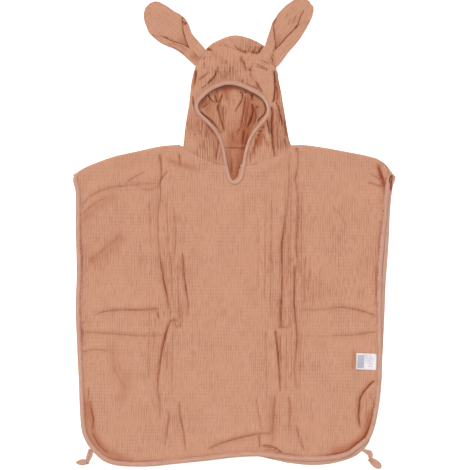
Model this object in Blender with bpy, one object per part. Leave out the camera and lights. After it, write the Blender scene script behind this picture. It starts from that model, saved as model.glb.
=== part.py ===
"""A child's hooded bath poncho with rabbit ears, in crinkled cotton double gauze, laid out flat, face up.

Lengths are millimetres on the laid garment: x across it, y up from the lowest point of the hem and
z up from the surface that it lies on. Left and right are those of someone looking down at it. The
empty lay_frame carries every piece and moves the middle of the garment to the origin.
"""
import math
from collections import namedtuple

import bmesh
import bpy
from mathutils import Vector

MM = 0.001                  # one unit of the tables in metres
MIDDLE_Y = 442.7            # half the garment's length, hem to ear tips
WALL = 1.2                  # two layers of gauze, crinkled
SEAM_GAP = 0.3              # between pieces that are sewn together or lie on each other
UP = Vector((0.0, 0.0, 1.0))

BODY_BINDING = 9.5          # width of the tape around the body
FACE_BINDING = 8.0          # width of the tape around the face opening and the slit
TAPE_WALL = 0.8
TAPE_SIDE = TAPE_WALL + SEAM_GAP        # from a panel's face or edge to the outside of its tape
BAND = BODY_BINDING + 0.5   # flat strip along a bound edge that the tape lies on
FACE_BAND = FACE_BINDING + 1.0

BACK_EDGE_Z = TAPE_SIDE                                       # the tape's lower arm is under it
FRONT_Z = WALL + SEAM_GAP                                     # the front lies on the back
FRONT_EDGE_Z = BACK_EDGE_Z + WALL + 2 * TAPE_SIDE + SEAM_GAP  # and its tape on the back's tape
SIDE_LENGTH = 528.0         # from the lower corners up to the shoulders
FRONT_ROWS = 20
BACK_ROWS = 10
BACK_STEP = 14.0            # from its flat bound band the back comes down to the surface within this
HOOD_BACK_ROWS = 8
HOOD_BACK_COLUMNS = 10
HOOD_BACK_INSET = WALL + 4 * SEAM_GAP   # from the hood's outline, inside the turned-down front
HOOD_TOP_SIDE_Y = 765.0     # the hood's back ends in a low dome from this height
HOOD_TOP_RISE = 49.0
EAR_SHEAR_LENGTH = 30.0     # an ear's sections turn from its seam to its axis over this length
EDGE_RISE = 26.0            # over this distance the front comes down from its bound edges
ROLL = 4.2                  # a cloth fold's turn, from flat to upright, seen from above
NAPE_CLEAR = 5.5            # the back's nape edge starts this far inside the hood's turned-down side
BACK_DROP = 2.6             # the back's shoulder edge lies this far inside the folded front's outline
BACK_OVERHANG = 4.0         # the front covers the back's left edge by this much

EAR_WALL = 2.0              # an ear is two cloths thick
EAR_FOLD_GAP = 0.4
EAR_FOLD_ARC = math.pi * (EAR_WALL + EAR_FOLD_GAP) / 2
LABEL_WALL = 1.0
LABEL = dict(x=251.0, y=198.5, width=38.0, height=31.0, tilt=-2.0)


def table(columns, *rows):
    """Rows with named columns."""
    row_type = namedtuple("Row", columns)
    return [row_type(*row) for row in rows]


# The edges of the laid pieces.
FRONT_LEFT_SIDE = table(
    "y x",
    (27, -267), (42, -278), (65, -288), (105, -292), (160, -294), (220, -297), (300, -300),
    (370, -298), (450, -300), (520, -300), (543, -305), (555, -302))
FRONT_RIGHT_SIDE = table(
    "y x",
    (37, 241), (50, 256), (70, 265), (105, 273), (145, 278), (190, 280.5), (300, 280.5),
    (400, 282), (470, 286), (515, 290), (540, 303), (555, 306))
BACK_RIGHT_SIDE = table(
    "y x",
    (33, 248), (45, 256), (65, 262), (105, 270), (145, 275), (200, 281), (290, 285.5),
    (350, 288), (420, 293), (490, 296.5), (530, 301), (548, 307))
FRONT_HEM = table(
    "x y",
    (-267, 27), (-250, 12), (-228, 3), (-200, 0), (-160, 0), (-110, 5), (-50, 11), (0, 17),
    (46, 19), (80, 16), (115, 11.5), (160, 10.5), (195, 14), (220, 21.5), (241, 37))
BACK_HEM = table(
    "x y",
    (-262, 30), (-245, 15), (-225, 7), (-200, 4), (-160, 4), (-110, 9), (-50, 15), (0, 20),
    (48, 18), (75, 12), (105, 6), (145, 2), (180, 4), (210, 11), (232, 20), (248, 33))
SHOULDER_LEFT = table(
    "x y",
    (-302, 555), (-285, 566), (-262, 576), (-228, 588), (-182, 598.5), (-137, 608), (-103, 611))
SHOULDER_RIGHT = table(
    "x y",
    (114, 610), (137, 610.5), (182, 604.5), (217, 598), (262, 589), (285, 580), (306, 555))
SLIT = table(
    "x y",
    (-8.5, 551), (-4.8, 543.5), (1.2, 539.5), (7.2, 543.5), (12.2, 551))
SLIT_END = 2                # the row of SLIT at the bottom of the slit

# The hood's front is a horseshoe from the left end of the neck seam over the forehead to the
# right end. Each row is a station across it: its outer end, its inner end at the face opening,
# the heights of its underside near both ends and halfway, and how far the station sags.
HOOD_FRONT = table(
    "outer_x outer_y inner_x inner_y rim_z mid_z inner_z sag",
    (-96.9, 606.1, -12.5, 571.0, FRONT_EDGE_Z, 6.5, 3.6, 14),
    (-95.0, 623.2, -20.9, 612.0, 6.0, 8.5, 4.4, 8),
    (-93.1, 642.2, -32.3, 636.5, 7.0, 9.0, 5.5, 3),
    (-89.3, 666.9, -49.4, 656.0, 7.5, 9.0, 6.5, 0),
    (-85.5, 687.8, -64.5, 670.7, 8.0, 8.8, 8.0, 0),
    (-82.7, 710.6, -68.4, 687.0, 8.0, 9.0, 9.0, 0),
    (-79.8, 733.4, -58.5, 702.5, 8.0, 10.0, 10.5, 0),
    (-74.1, 760.0, -43.0, 716.5, 8.0, 12.0, 12.0, 0),
    (-51.3, 786.6, -27.0, 725.0, 9.5, 14.0, 13.0, 0),
    (-28.5, 798.0, -11.0, 728.7, 10.0, 15.0, 13.5, 0),
    (7.6, 788.5, 9.0, 726.0, 10.0, 15.0, 13.5, 0),
    (43.7, 780.0, 32.0, 716.0, 9.5, 14.0, 13.0, 0),
    (77.9, 756.2, 51.5, 702.5, 8.0, 12.0, 12.0, 0),
    (84.6, 733.4, 63.7, 687.0, 8.0, 10.0, 10.5, 0),
    (89.3, 710.6, 64.6, 672.6, 8.0, 9.0, 9.0, 0),
    (93.1, 687.8, 53.5, 656.0, 8.0, 9.0, 8.0, 0),
    (96.9, 666.9, 40.0, 640.3, 7.5, 9.0, 6.5, 0),
    (100.7, 642.2, 29.0, 623.0, 7.0, 9.0, 5.5, 3),
    (104.5, 623.2, 21.5, 600.4, 6.0, 8.5, 4.4, 6),
    (110.2, 606.1, 16.0, 571.0, FRONT_EDGE_Z, 6.5, 3.6, 10.5))
LEFT_EAR_ROWS = (7, 8)      # the ears are caught in the seam between these stations
RIGHT_EAR_ROWS = (11, 12)
STATIONS_PER_ROW = 2
EAR_SECTIONS_PER_ROW = 2

# The crown closes the hood behind the ear-to-ear seam, one row for each station from ear to ear.
HOOD_CROWN = table(
    "edge_x edge_y seam_z",
    (-76.5, 763.5, 5.0), (-55.6, 790.6, 6.5), (-34.2, 807.5, 9.8), (5.7, 819.0, 10.0),
    (53.2, 797.0, 5.0), (81.5, 762.0, 5.0))
CROWN_TURN = 7.0            # how far in from its edge the crown reaches its height

# Soft ridges of the laid cloth: start, middle, end, height and half width.
FRONT_FOLDS = table(
    "x0 y0 x1 y1 x2 y2 height width",
    (-139, 592, -146, 462, -125, 300, 4.5, 14),
    (-104, 276, -136, 225, -144, 150, 4.0, 14),
    (-114, 494, -108, 420, -88, 325, 3.5, 13),
    (-122, 103, -128, 66, -134, 36, 3.0, 12),
    (-291, 494, -234, 533, -141, 536, 3.5, 14),
    (-262, 289, -192, 299, -124, 300, 4.0, 13),
    (-291, 253, -198, 251, -133, 251, 3.5, 13),
    (105, 551, 92, 432, 89, 264, 4.5, 14),
    (80, 250, 86, 210, 87, 150, 3.5, 13),
    (125, 597, 116, 500, 118, 420, 4.0, 13),
    (116, 400, 113, 300, 118, 144, 4.5, 13),
    (118, 300, 190, 299, 270, 287, 4.0, 13),
    (196, 251, 230, 256, 270, 255, 3.0, 12),
    (270, 167, 238, 128, 241, 70, 4.0, 14),
    (-53, 31, 11, 56, 70, 61, 3.5, 13),
    (44, 122, 50, 90, 54, 60, 3.0, 12),
    (224, 541, 255, 535, 285, 526, 3.0, 12))
HOOD_BACK_FOLDS = table(
    "x0 y0 x1 y1 x2 y2 height width",
    (-21, 707, -26, 686, -38, 660, 3.0, 10),
    (19, 704, 8, 680, 0, 650, 3.0, 10),
    (37, 703, 26, 660, 18, 620, 3.5, 10),
    (-62, 690, -44, 684, -20, 640, 3.0, 10))

# An ear, station by station from its seam to its tip: the reach of its two sides from the axis,
# how far in the folded-over sides come, how far these are turned over, and its height.
EAR_COLUMNS = "s left right left_flap right_flap left_turn right_turn z"
EAR_LEFT = table(
    EAR_COLUMNS,
    (0, -17, 19, -1.3, -0.7, 180, 180, 8.3),
    (12, -17.5, 20, -1.3, -0.7, 180, 180, 7.2),
    (27, -18, 21, -1.3, -0.7, 180, 180, 3.6),
    (46, -21, 23, -7.5, 7.0, 180, 180, 0.3),
    (61, -27.5, 30, -15, 16, 180, 180, 0),
    (74, -32, 33.5, -20, 26, 180, 180, 0),
    (87, -34, 32, -26.5, 29, 170, 60, 0),
    (101, -34.5, 28, -33, 27, 30, 0, 0),
    (116, -29, 25.5, -28, 24.5, 0, 0, 0),
    (129, -22.5, 21.5, -21.5, 20.5, 0, 0, 0),
    (138, -14, 16, -13, 15, 0, 0, 0),
    (142.5, -5, 6, -4.5, 5.5, 0, 0, 0))
EAR_RIGHT = table(
    EAR_COLUMNS,
    (0, -18.4, 22.5, 4.5, 5.1, 180, 180, 8.3),
    (13, -17.4, 25.6, 4.5, 5.1, 180, 180, 7.6),
    (25, -17.4, 26.6, 4.3, 5.3, 180, 180, 4.6),
    (42, -20.9, 29.6, -6.4, 9.1, 180, 180, 0.3),
    (55, -23.4, 32.6, -15.5, 11.6, 180, 180, 0),
    (69, -25.9, 34.6, -22, 15.6, 90, 180, 0),
    (88, -24.9, 35.6, -24, 20.5, 0, 180, 0),
    (101, -21.9, 35.6, -21, 28, 0, 150, 0),
    (111, -18.9, 35.1, -18, 34, 0, 30, 0),
    (122, -13.4, 32.6, -12.5, 31.6, 0, 0, 0),
    (133, -6.9, 27.6, -6, 26.6, 0, 0, 0),
    (139.5, 4, 14, 4.5, 13.5, 0, 0, 0))
EAR_LEFT_LEAN = 135.0       # the ear's axis from +X, in degrees
EAR_RIGHT_LEAN = 60.9

# A tie at each lower corner: the route of its strap to the knot, then the knot and its leaf end.
TIE_STRAP_RADIUS = 2.3
TIE_KNOT = dict(length=11.0, width=10.0, height=7.0)
TIE_LEAF = dict(neck=4.0, width=11.5, height=2.4)
TIE_LEFT = [(-273.9, 31.4), (-276.5, 24.0), (-278.4, 18.0), (-279.1, 12.5)]
TIE_LEFT_KNOT = (-279.3, 7.6)
TIE_LEFT_TIP = (-301.5, 5.7)
TIE_RIGHT = [
    (248.3, 28.9), (255.0, 30.2), (261.5, 28.9), (264.6, 24.8), (263.4, 19.6), (260.8, 15.5)]
TIE_RIGHT_KNOT = (258.0, 11.4)
TIE_RIGHT_TIP = (280.2, -4.0)

TERRACOTTA = (0.60, 0.31, 0.19)
TAPE_COLOUR = (0.54, 0.29, 0.19)
INSIDE_COLOUR = (0.51, 0.23, 0.14)


def flat(x, y, z=0.0):
    return Vector((x, y, z))


def curve_value(rows, key, value, at):
    """A table column read along another as a smooth curve through the rows."""
    keys = [getattr(row, key) for row in rows]
    values = [getattr(row, value) for row in rows]
    at = min(max(at, keys[0]), keys[-1])
    i = max(k for k in range(len(keys) - 1) if keys[k] <= at)

    def slope(k):
        lo, hi = max(k - 1, 0), min(k + 1, len(keys) - 1)
        return (values[hi] - values[lo]) / (keys[hi] - keys[lo])

    step = keys[i + 1] - keys[i]
    t = (at - keys[i]) / step
    return ((2 * t**3 - 3 * t**2 + 1) * values[i] + (t**3 - 2 * t**2 + t) * step * slope(i)
            + (3 * t**2 - 2 * t**3) * values[i + 1] + (t**3 - t**2) * step * slope(i + 1))


def between_rows(rows, at):
    """The table row at a fractional row number, on a smooth curve through the rows."""
    i = min(int(at), len(rows) - 2)
    t = at - i
    before, start, end, after = (rows[min(max(k, 0), len(rows) - 1)] for k in range(i - 1, i + 3))

    def blended(p, a, b, q):
        return 0.5 * (2 * a + (b - p) * t + (2 * p - 5 * a + 4 * b - q) * t**2
                      + (3 * a - p - 3 * b + q) * t**3)

    return type(start)(*(blended(*four) for four in zip(before, start, end, after)))


def smooth_step(t):
    t = min(max(t, 0.0), 1.0)
    return t * t * (3 - 2 * t)


def spread(start, end, cells, power=1.0):
    """Steps from start to end, closer together at the start where power is above one."""
    return [start + (end - start) * (k / cells) ** power for k in range(cells + 1)]


def fold_height(folds, x, y):
    """How far the cloth's ridges lift it at a place."""
    lift = 0.0
    for fold in folds:
        start, middle, end = (flat(fold.x0, fold.y0), flat(fold.x1, fold.y1), flat(fold.x2, fold.y2))
        pull = 2 * middle - (start + end) / 2       # the curve runs through the middle
        points = [(1 - t)**2 * start + 2 * t * (1 - t) * pull + t**2 * end for t in spread(0, 1, 8)]
        distance = min(distance_to_segment(flat(x, y), a, b) for a, b in zip(points, points[1:]))
        lift = max(lift, fold.height * math.exp(-(distance / fold.width) ** 2))
    return lift


def distance_to_segment(point, start, end):
    along = end - start
    t = min(max((point - start).dot(along) / along.length_squared, 0.0), 1.0)
    return (point - start - t * along).length


def material(name, colour, roughness=0.9):
    made = bpy.data.materials.get(name)
    if made is None:
        made = bpy.data.materials.new(name)
        made.use_nodes = True
        shader = made.node_tree.nodes["Principled BSDF"]
        shader.inputs["Base Color"].default_value = (*colour, 1.0)
        shader.inputs["Roughness"].default_value = roughness
        shader.inputs["Metallic"].default_value = 0.0
    return made


def new_object(name, bm, cloth):
    """A scene object in metres from a bmesh in millimetres."""
    bmesh.ops.scale(bm, vec=(MM, MM, MM), verts=bm.verts)
    mesh = bpy.data.meshes.new(name)
    bm.to_mesh(mesh)
    bm.free()
    mesh.materials.append(cloth)
    made = bpy.data.objects.new(name, mesh)
    bpy.context.collection.objects.link(made)
    made.parent = bpy.data.objects["lay_frame"]
    return made


def add_grid(bm, rows):
    """Quads between rows of points."""
    verts = [[bm.verts.new(point) for point in row] for row in rows]
    for lower, upper in zip(verts, verts[1:]):
        for a, b, c, d in zip(lower, lower[1:], upper[1:], upper):
            bm.faces.new((a, b, c, d))


def sheet_bmesh(*grids):
    """The underside of a cloth piece, welded from grids of points, its faces looking up."""
    bm = bmesh.new()
    for rows in grids:
        add_grid(bm, rows)
    bmesh.ops.remove_doubles(bm, verts=bm.verts, dist=0.01)
    bmesh.ops.recalc_face_normals(bm, faces=bm.faces)
    if sum(face.normal.z * face.calc_area() for face in bm.faces) < 0:
        bmesh.ops.reverse_faces(bm, faces=bm.faces)
    return bm


def cloth_wall(name, bm, cloth, wall=WALL):
    """The sheet in the bmesh as a wall, its thickness laid on upwards and outwards."""
    made = new_object(name, bm, cloth)
    thick = made.modifiers.new("wall", "SOLIDIFY")
    thick.thickness = wall * MM
    thick.offset = 1.0
    thick.use_even_offset = True
    return made


def lofted(name, sections, cloth):
    """A closed solid through closed sections with the same number of points."""
    bm = bmesh.new()
    rings = [[bm.verts.new(point) for point in section] for section in sections]
    for ring, following in zip(rings, rings[1:]):
        for k in range(len(ring)):
            n = (k + 1) % len(ring)
            bm.faces.new((ring[k], ring[n], following[n], following[k]))
    bm.faces.new(reversed(rings[0]))
    bm.faces.new(rings[-1])
    bmesh.ops.recalc_face_normals(bm, faces=bm.faces)
    return new_object(name, bm, cloth)


def bound_edge(name, edge, inside, width, band, cloth):
    """A tape folded around a panel's edge.

    edge has the underside points of the panel's edge, and inside those of the line a band's width
    in from it. The tape's arms end on the straight lines between the two.
    """
    share = (width - TAPE_SIDE) / band
    above = WALL + SEAM_GAP
    sections = []
    for k, (point, inner) in enumerate(zip(edge, inside)):
        along = (edge[min(k + 1, len(edge) - 1)] - edge[max(k - 1, 0)]).normalized()
        across = inner - point
        outward = (across.dot(along) * along - across).normalized()
        normal = outward.cross(along)
        if normal.dot(Vector((0.0, 0.5, 1.0))) < 0:
            normal = -normal
        arm = point.lerp(inner, share)
        nose = point + TAPE_SIDE * outward + WALL / 2 * normal
        sections.append([
            arm - TAPE_SIDE * normal,
            point - TAPE_SIDE * normal,
            nose,
            point + (WALL + TAPE_SIDE) * normal,
            arm + (WALL + TAPE_SIDE) * normal,
            arm + above * normal,
            point + SEAM_GAP * outward + above * normal,
            point + SEAM_GAP * (outward - normal),
            arm - SEAM_GAP * normal])
    return lofted(name, sections, cloth)


def turned_down(edge, directions):
    """Rows of points that take an edge over a rolled fold and down to the surface.

    The edge lies ROLL inside the outline, and the wall's thickness ends on the outline.
    """
    profile = [(0.5 * ROLL, 0.9), (ROLL - WALL, 3.0)]
    rows = [edge]
    for out, down in profile:
        rows.append([point + out * way - down * UP for point, way in zip(edge, directions)])
    rows.append([flat(point.x, point.y) + (ROLL - WALL) * way for point, way in zip(edge, directions)])
    return rows


def outward_ways(points, side):
    """For each point of a line the level direction across it, to the left (+1) or right (-1)."""
    ways = []
    for k in range(len(points)):
        along = points[min(k + 1, len(points) - 1)] - points[max(k - 1, 0)]
        ways.append(side * Vector((-along.y, along.x, 0.0)).normalized())
    return ways


# --- Shared lines: the neck seam is one line for the body and the hood.

def hood_station(at):
    """The underside points across the hood's front at a station, from outside to the face."""
    row = between_rows(HOOD_FRONT, at)
    outer, inner = flat(row.outer_x, row.outer_y), flat(row.inner_x, row.inner_y)
    length = (inner - outer).length
    seamed_top = LEFT_EAR_ROWS[0] < at < RIGHT_EAR_ROWS[1]
    rim = 0.0 if seamed_top else ROLL / length
    band = 1 - FACE_BAND / length
    points = []
    for s in (*spread(rim, band, 3), 1.0):
        place = outer.lerp(inner, s) - flat(0, row.sag * 4 * s * (1 - s))
        u = min(s / band, 1.0)
        bulge = row.mid_z - (row.rim_z + row.inner_z) / 2
        place.z = row.rim_z + (row.inner_z - row.rim_z) * u + bulge * 4 * u * (1 - u)
        points.append(place)
    return points


def neck_seam(side):
    """The body's side of the neck seam, from its outer end to the slit."""
    station = hood_station(0 if side < 0 else len(HOOD_FRONT) - 1)
    return [point - flat(0, 1.5 * SEAM_GAP) for point in station]


# --- The front panel.

def front_half(side):
    """Underside points of the left (-1) or right (+1) half of the front, rows from hem to top,
    and of the rolled fold along its shoulder."""
    shoulder_table = SHOULDER_LEFT if side < 0 else SHOULDER_RIGHT
    side_table = FRONT_LEFT_SIDE if side < 0 else FRONT_RIGHT_SIDE
    corner_x, neck_x = side_table[-1].x, (shoulder_table[-1] if side < 0 else shoulder_table[0]).x
    outline = [flat(x, curve_value(shoulder_table, "x", "y", x))
               for x in (corner_x, *spread(corner_x - side * BAND, neck_x - side * 1.0, 6, 1.15))]
    ways = outward_ways(outline, -side)
    ways[0] = ways[1]
    fold_edge = [point - ROLL * way for point, way in zip(outline, ways)]
    for point in fold_edge:
        point.z = FRONT_EDGE_Z
    slit = [flat(row.x, row.y, HOOD_FRONT[0].inner_z) for row in SLIT]
    slit = slit[:SLIT_END + 1] if side < 0 else slit[::-1][:SLIT_END + 1]
    top = fold_edge + neck_seam(side) + slit

    centre_x = SLIT[SLIT_END].x
    hem_corner = flat(side_table[0].x, side_table[0].y)
    hem = []
    for point in top:
        share = (point.x - corner_x) / (centre_x - corner_x)
        x = hem_corner.x + (centre_x - hem_corner.x) * share
        hem.append(flat(x, curve_value(FRONT_HEM, "x", "y", x)))
    band_x = hem_corner.x - side * BAND
    hem[1] = flat(band_x, curve_value(FRONT_HEM, "x", "y", band_x))

    length = fold_edge[0].y - hem_corner.y
    shares = [0.0] + spread(BAND / SIDE_LENGTH, 1 - FACE_BAND / SIDE_LENGTH, FRONT_ROWS) + [1.0]
    rows = []
    for v in shares:
        edge_y = hem_corner.y + v * length
        edge_x = curve_value(side_table, "y", "x", edge_y) if v < 1 else fold_edge[0].x
        row = []
        for c, (low, high) in enumerate(zip(hem, top)):
            straight = hem[0].x + (top[0].x - hem[0].x) * v
            keep = 1 - abs(top[c].x - corner_x) / abs(centre_x - corner_x)
            x = low.x + (high.x - low.x) * v + (edge_x - straight) * keep
            if c == 1:
                x = edge_x - side * BAND
            row.append(flat(x, low.y + (high.y - low.y) * v))
        rows.append(row)
    for v, row in zip(shares, rows):
        for c, point in enumerate(row):
            from_side = abs(point.x - row[0].x) - BAND
            from_hem = point.y - rows[0][c].y - BAND
            from_top = top[c].y - point.y
            edge = max(1 - smooth_step(from_side / EDGE_RISE), 1 - smooth_step(from_hem / EDGE_RISE))
            lift = fold_height(FRONT_FOLDS, point.x, point.y)
            point.z = FRONT_Z + (FRONT_EDGE_Z - FRONT_Z) * edge + lift * (1 - edge)
            near_top = 1 - smooth_step((from_top - FACE_BAND) / EDGE_RISE)
            point.z += (top[c].z - point.z) * near_top
            from_slit = min(distance_to_segment(flat(point.x, point.y), flat(a.x, a.y), flat(b.x, b.y))
                            for a, b in zip(slit, slit[1:]))
            near_slit = 1 - smooth_step((from_slit - 2 * FACE_BAND) / EDGE_RISE)
            point.z += (slit[0].z - point.z) * near_slit
    rows[-1] = top
    return rows, turned_down(fold_edge, ways)


def add_front_panel(cloth, tape):
    left, left_fold = front_half(-1)
    right, right_fold = front_half(1)
    cloth_wall("front_panel", sheet_bmesh(left, left_fold, right, right_fold), cloth)

    edge, inside = side_and_hem(left, right, left_fold, right_fold)
    bound_edge("binding_front", edge, inside, BODY_BINDING, BAND, tape)
    return left, right


def side_and_hem(left, right, left_fold=None, right_fold=None):
    """A panel's bound edge and the line a band in from it, from the left shoulder round to the right."""
    edge, inside = [], []
    for rows, fold in ((left, left_fold), (right, right_fold)):
        upright = fold[1:] if fold else []
        half_edge = rows[0][:0:-1] + [row[0] for row in rows] + [row[0] for row in upright]
        half_inside = rows[1][:0:-1] + [rows[1][1]] + [row[1] for row in rows[1:]]
        half_inside += [row[1] for row in upright]
        if not edge:
            edge, inside = half_edge[::-1], half_inside[::-1]
        else:
            edge += half_edge[1:]
            inside += half_inside[1:]
    return edge, inside


# --- The back panel, under the front.

def back_half(side):
    """Underside points of half of the back, rows from hem to neck."""
    shoulder_table = SHOULDER_LEFT if side < 0 else SHOULDER_RIGHT
    shoulder_row = shoulder_table[0] if side < 0 else shoulder_table[-1]
    neck_row = HOOD_FRONT[0] if side < 0 else HOOD_FRONT[-1]
    hem_row = BACK_HEM[0] if side < 0 else BACK_HEM[-1]

    def side_x(y):
        if side > 0:
            return curve_value(BACK_RIGHT_SIDE, "y", "x", y)
        return curve_value(FRONT_LEFT_SIDE, "y", "x", y - 3) + BACK_OVERHANG

    corner_x = side_x(shoulder_row.y)
    nape_y = neck_row.outer_y - SEAM_GAP / 2
    shoulder_xs = [corner_x, corner_x - side * BAND]
    shoulder_xs += spread(corner_x - side * (BAND + BACK_STEP), neck_row.outer_x + side * ROLL, 4)
    tops = []
    for c, x in enumerate(shoulder_xs):
        inner_x = min(max(x, shoulder_table[0].x + 1), shoulder_table[-1].x - 1)
        slope = curve_value(shoulder_table, "x", "y", inner_x + 1) - curve_value(
            shoulder_table, "x", "y", inner_x - 1)
        drop = (ROLL if c < 3 else BACK_DROP) * math.hypot(1, slope / 2)
        tops.append(flat(x, curve_value(shoulder_table, "x", "y", x) - drop))
    # A notch clears the end of the hood's turned-down side.
    tops.append(flat(neck_row.outer_x, neck_row.outer_y - ROLL - WALL))
    tops += [flat(x, nape_y) for x in spread(neck_row.outer_x - side * NAPE_CLEAR, SLIT[SLIT_END].x, 3)]
    columns = []
    for c, top in enumerate(tops):
        share = (top.x - corner_x) / (tops[-1].x - corner_x)
        low_x = hem_row.x + (tops[-1].x - hem_row.x) * share
        if c == 1:
            low_x = hem_row.x - side * BAND
        columns.append((flat(low_x, curve_value(BACK_HEM, "x", "y", low_x)), top))

    rows = []
    band = BAND / SIDE_LENGTH
    for v in (0.0, band, *spread(band + BACK_STEP / SIDE_LENGTH, 1.0, BACK_ROWS)):
        edge_y = columns[0][0].y + (columns[0][1].y - columns[0][0].y) * v
        bulge = side_x(edge_y) - (columns[0][0].x + (columns[0][1].x - columns[0][0].x) * v)
        row = []
        for c, (low, high) in enumerate(columns):
            keep = 1 - abs(high.x - corner_x) / abs(tops[-1].x - corner_x)
            place = low.lerp(high, v) + flat(bulge * keep, 0)
            if c == 1:
                place.x = side_x(edge_y) - side * BAND
            place.z = BACK_EDGE_Z if c < 2 or v <= band else 0.0
            row.append(place)
        rows.append(row)
    return rows


def add_back_panel(cloth, tape):
    left, right = back_half(-1), back_half(1)
    cloth_wall("back_panel", sheet_bmesh(left, right), cloth)
    edge, inside = side_and_hem(left, right)
    bound_edge("binding_back", edge, inside, BODY_BINDING, BAND, tape)


# --- The hood.

def hood_stations(first, last):
    """Stations of the hood's front from one table row to another, with their row numbers."""
    count = round((last - first) * STATIONS_PER_ROW)
    numbers = spread(first, last, count)
    return numbers, [hood_station(at) for at in numbers]


def add_hood_front(cloth, tape):
    last_row = len(HOOD_FRONT) - 1
    _, stations = hood_stations(0, last_row)
    grids = [stations]
    for first, last in ((0, LEFT_EAR_ROWS[0]), (RIGHT_EAR_ROWS[1], last_row)):
        numbers, side = hood_stations(first, last)
        rims = [station[0] for station in side]
        outers = [between_rows(HOOD_FRONT, at) for at in numbers]
        ways = [(flat(row.outer_x, row.outer_y) - flat(rim.x, rim.y)).normalized()
                for row, rim in zip(outers, rims)]
        grids.append(turned_down(rims, ways))
    cloth_wall("hood_front", sheet_bmesh(*grids), cloth)

    edge = [station[-1] for station in stations]
    inside = [station[-2] for station in stations]
    slit_edge = [flat(row.x, row.y, HOOD_FRONT[0].inner_z) for row in SLIT][::-1]
    ways = outward_ways([edge[-1], *slit_edge, edge[0]], 1)[1:-1]
    edge += slit_edge + [edge[0]]
    inside += [point + FACE_BAND * way for point, way in zip(slit_edge, ways)] + [inside[0]]
    # The tape's two ends butt at the left end of the neck seam.
    ending = edge[-2].lerp(edge[-1], 1 - SEAM_GAP / (edge[-1] - edge[-2]).length)
    inside[-1] = inside[-1] + (ending - edge[-1])
    edge[-1] = ending
    bound_edge("face_binding", edge, inside, FACE_BINDING, FACE_BAND, tape)


def add_hood_crown(cloth):
    first, last = LEFT_EAR_ROWS[0], RIGHT_EAR_ROWS[1]
    rows = []
    for at in spread(first, last, (last - first) * STATIONS_PER_ROW):
        outer = between_rows(HOOD_FRONT, at)
        crown = between_rows(HOOD_CROWN, at - first)
        seam = flat(outer.outer_x, outer.outer_y)
        edge = flat(crown.edge_x, crown.edge_y)
        way = (edge - seam).normalized()
        seam += 1.5 * SEAM_GAP * way
        edge -= WALL * way
        width = (edge - seam).length
        turn = min(CROWN_TURN, 0.6 * width)
        row = [edge]
        for angle in (35, 65, 90):
            up = crown.seam_z * math.sin(math.radians(angle))
            row.append(edge - turn * (1 - math.cos(math.radians(angle))) * way + up * UP)
        row.append(seam + crown.seam_z * UP)
        rows.append(row)
    cloth_wall("hood_crown", sheet_bmesh(rows), cloth)


def add_hood_back(cloth):
    """The inside of the hood's back, seen through the face opening."""
    nape_y = HOOD_FRONT[0].outer_y + SEAM_GAP / 2
    left, right = HOOD_FRONT[:LEFT_EAR_ROWS[1]], HOOD_FRONT[:RIGHT_EAR_ROWS[0]:-1]
    rows = []
    for v in spread(0, 1, HOOD_BACK_ROWS):
        row = []
        for u in spread(0, 1, HOOD_BACK_COLUMNS):
            top = HOOD_TOP_SIDE_Y + HOOD_TOP_RISE * math.sin(math.pi * u)
            y = nape_y + (top - nape_y) * v
            low_x = curve_value(left, "outer_y", "outer_x", y) + HOOD_BACK_INSET
            high_x = curve_value(right, "outer_y", "outer_x", y) - HOOD_BACK_INSET
            x = low_x + (high_x - low_x) * u
            z = fold_height(HOOD_BACK_FOLDS, x, y)
            row.append(flat(x, y, z if z > 0.2 and 0 < u < 1 and 0 < v < 1 else 0.0))
        rows.append(row)
    cloth_wall("hood_back", sheet_bmesh(rows), cloth)


# --- The ears.

def ear_side(reach, flap, turn):
    """The middle line of one side of an ear, from its flap's edge to where the fold starts."""
    turn = math.radians(min(max(turn, 3.0), 180.0))
    radius = EAR_FOLD_ARC / turn
    bent = min(turn, math.pi / 2)
    folded = turn > math.pi / 2
    over = max(reach - radius - EAR_WALL / 2 - flap if folded else reach - flap, 0.5)
    start = reach - (radius + EAR_WALL / 2) * math.sin(bent) - over * max(math.cos(turn), 0.0)
    arc = [(start + radius * math.sin(turn * share), radius * (1 - math.cos(turn * share)))
           for share in (1.0, 0.5, 0.0)]
    return [(arc[0][0] + over * math.cos(turn), arc[0][1] + over * math.sin(turn)), *arc]


def ear_section(row):
    """The closed outline across an ear, as pairs of distance from the axis and height."""
    left = [(-n, z) for n, z in ear_side(-row.left, -row.left_flap, row.left_turn)]
    right = ear_side(row.right, row.right_flap, row.right_turn)
    middle = ((left[-1][0] + right[-1][0]) / 2, 0.0)
    line = [flat(n, z) for n, z in left + [middle] + right[::-1]]
    half = EAR_WALL / 2
    outer, inner = [], []
    for k, point in enumerate(line):
        along = (line[min(k + 1, len(line) - 1)] - line[max(k - 1, 0)]).normalized()
        below = flat(along.y, -along.x) * half
        outer.append(point + below)
        inner.append(point - below)
    return [(p.x, p.y + half) for p in outer + inner[::-1]]


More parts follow.
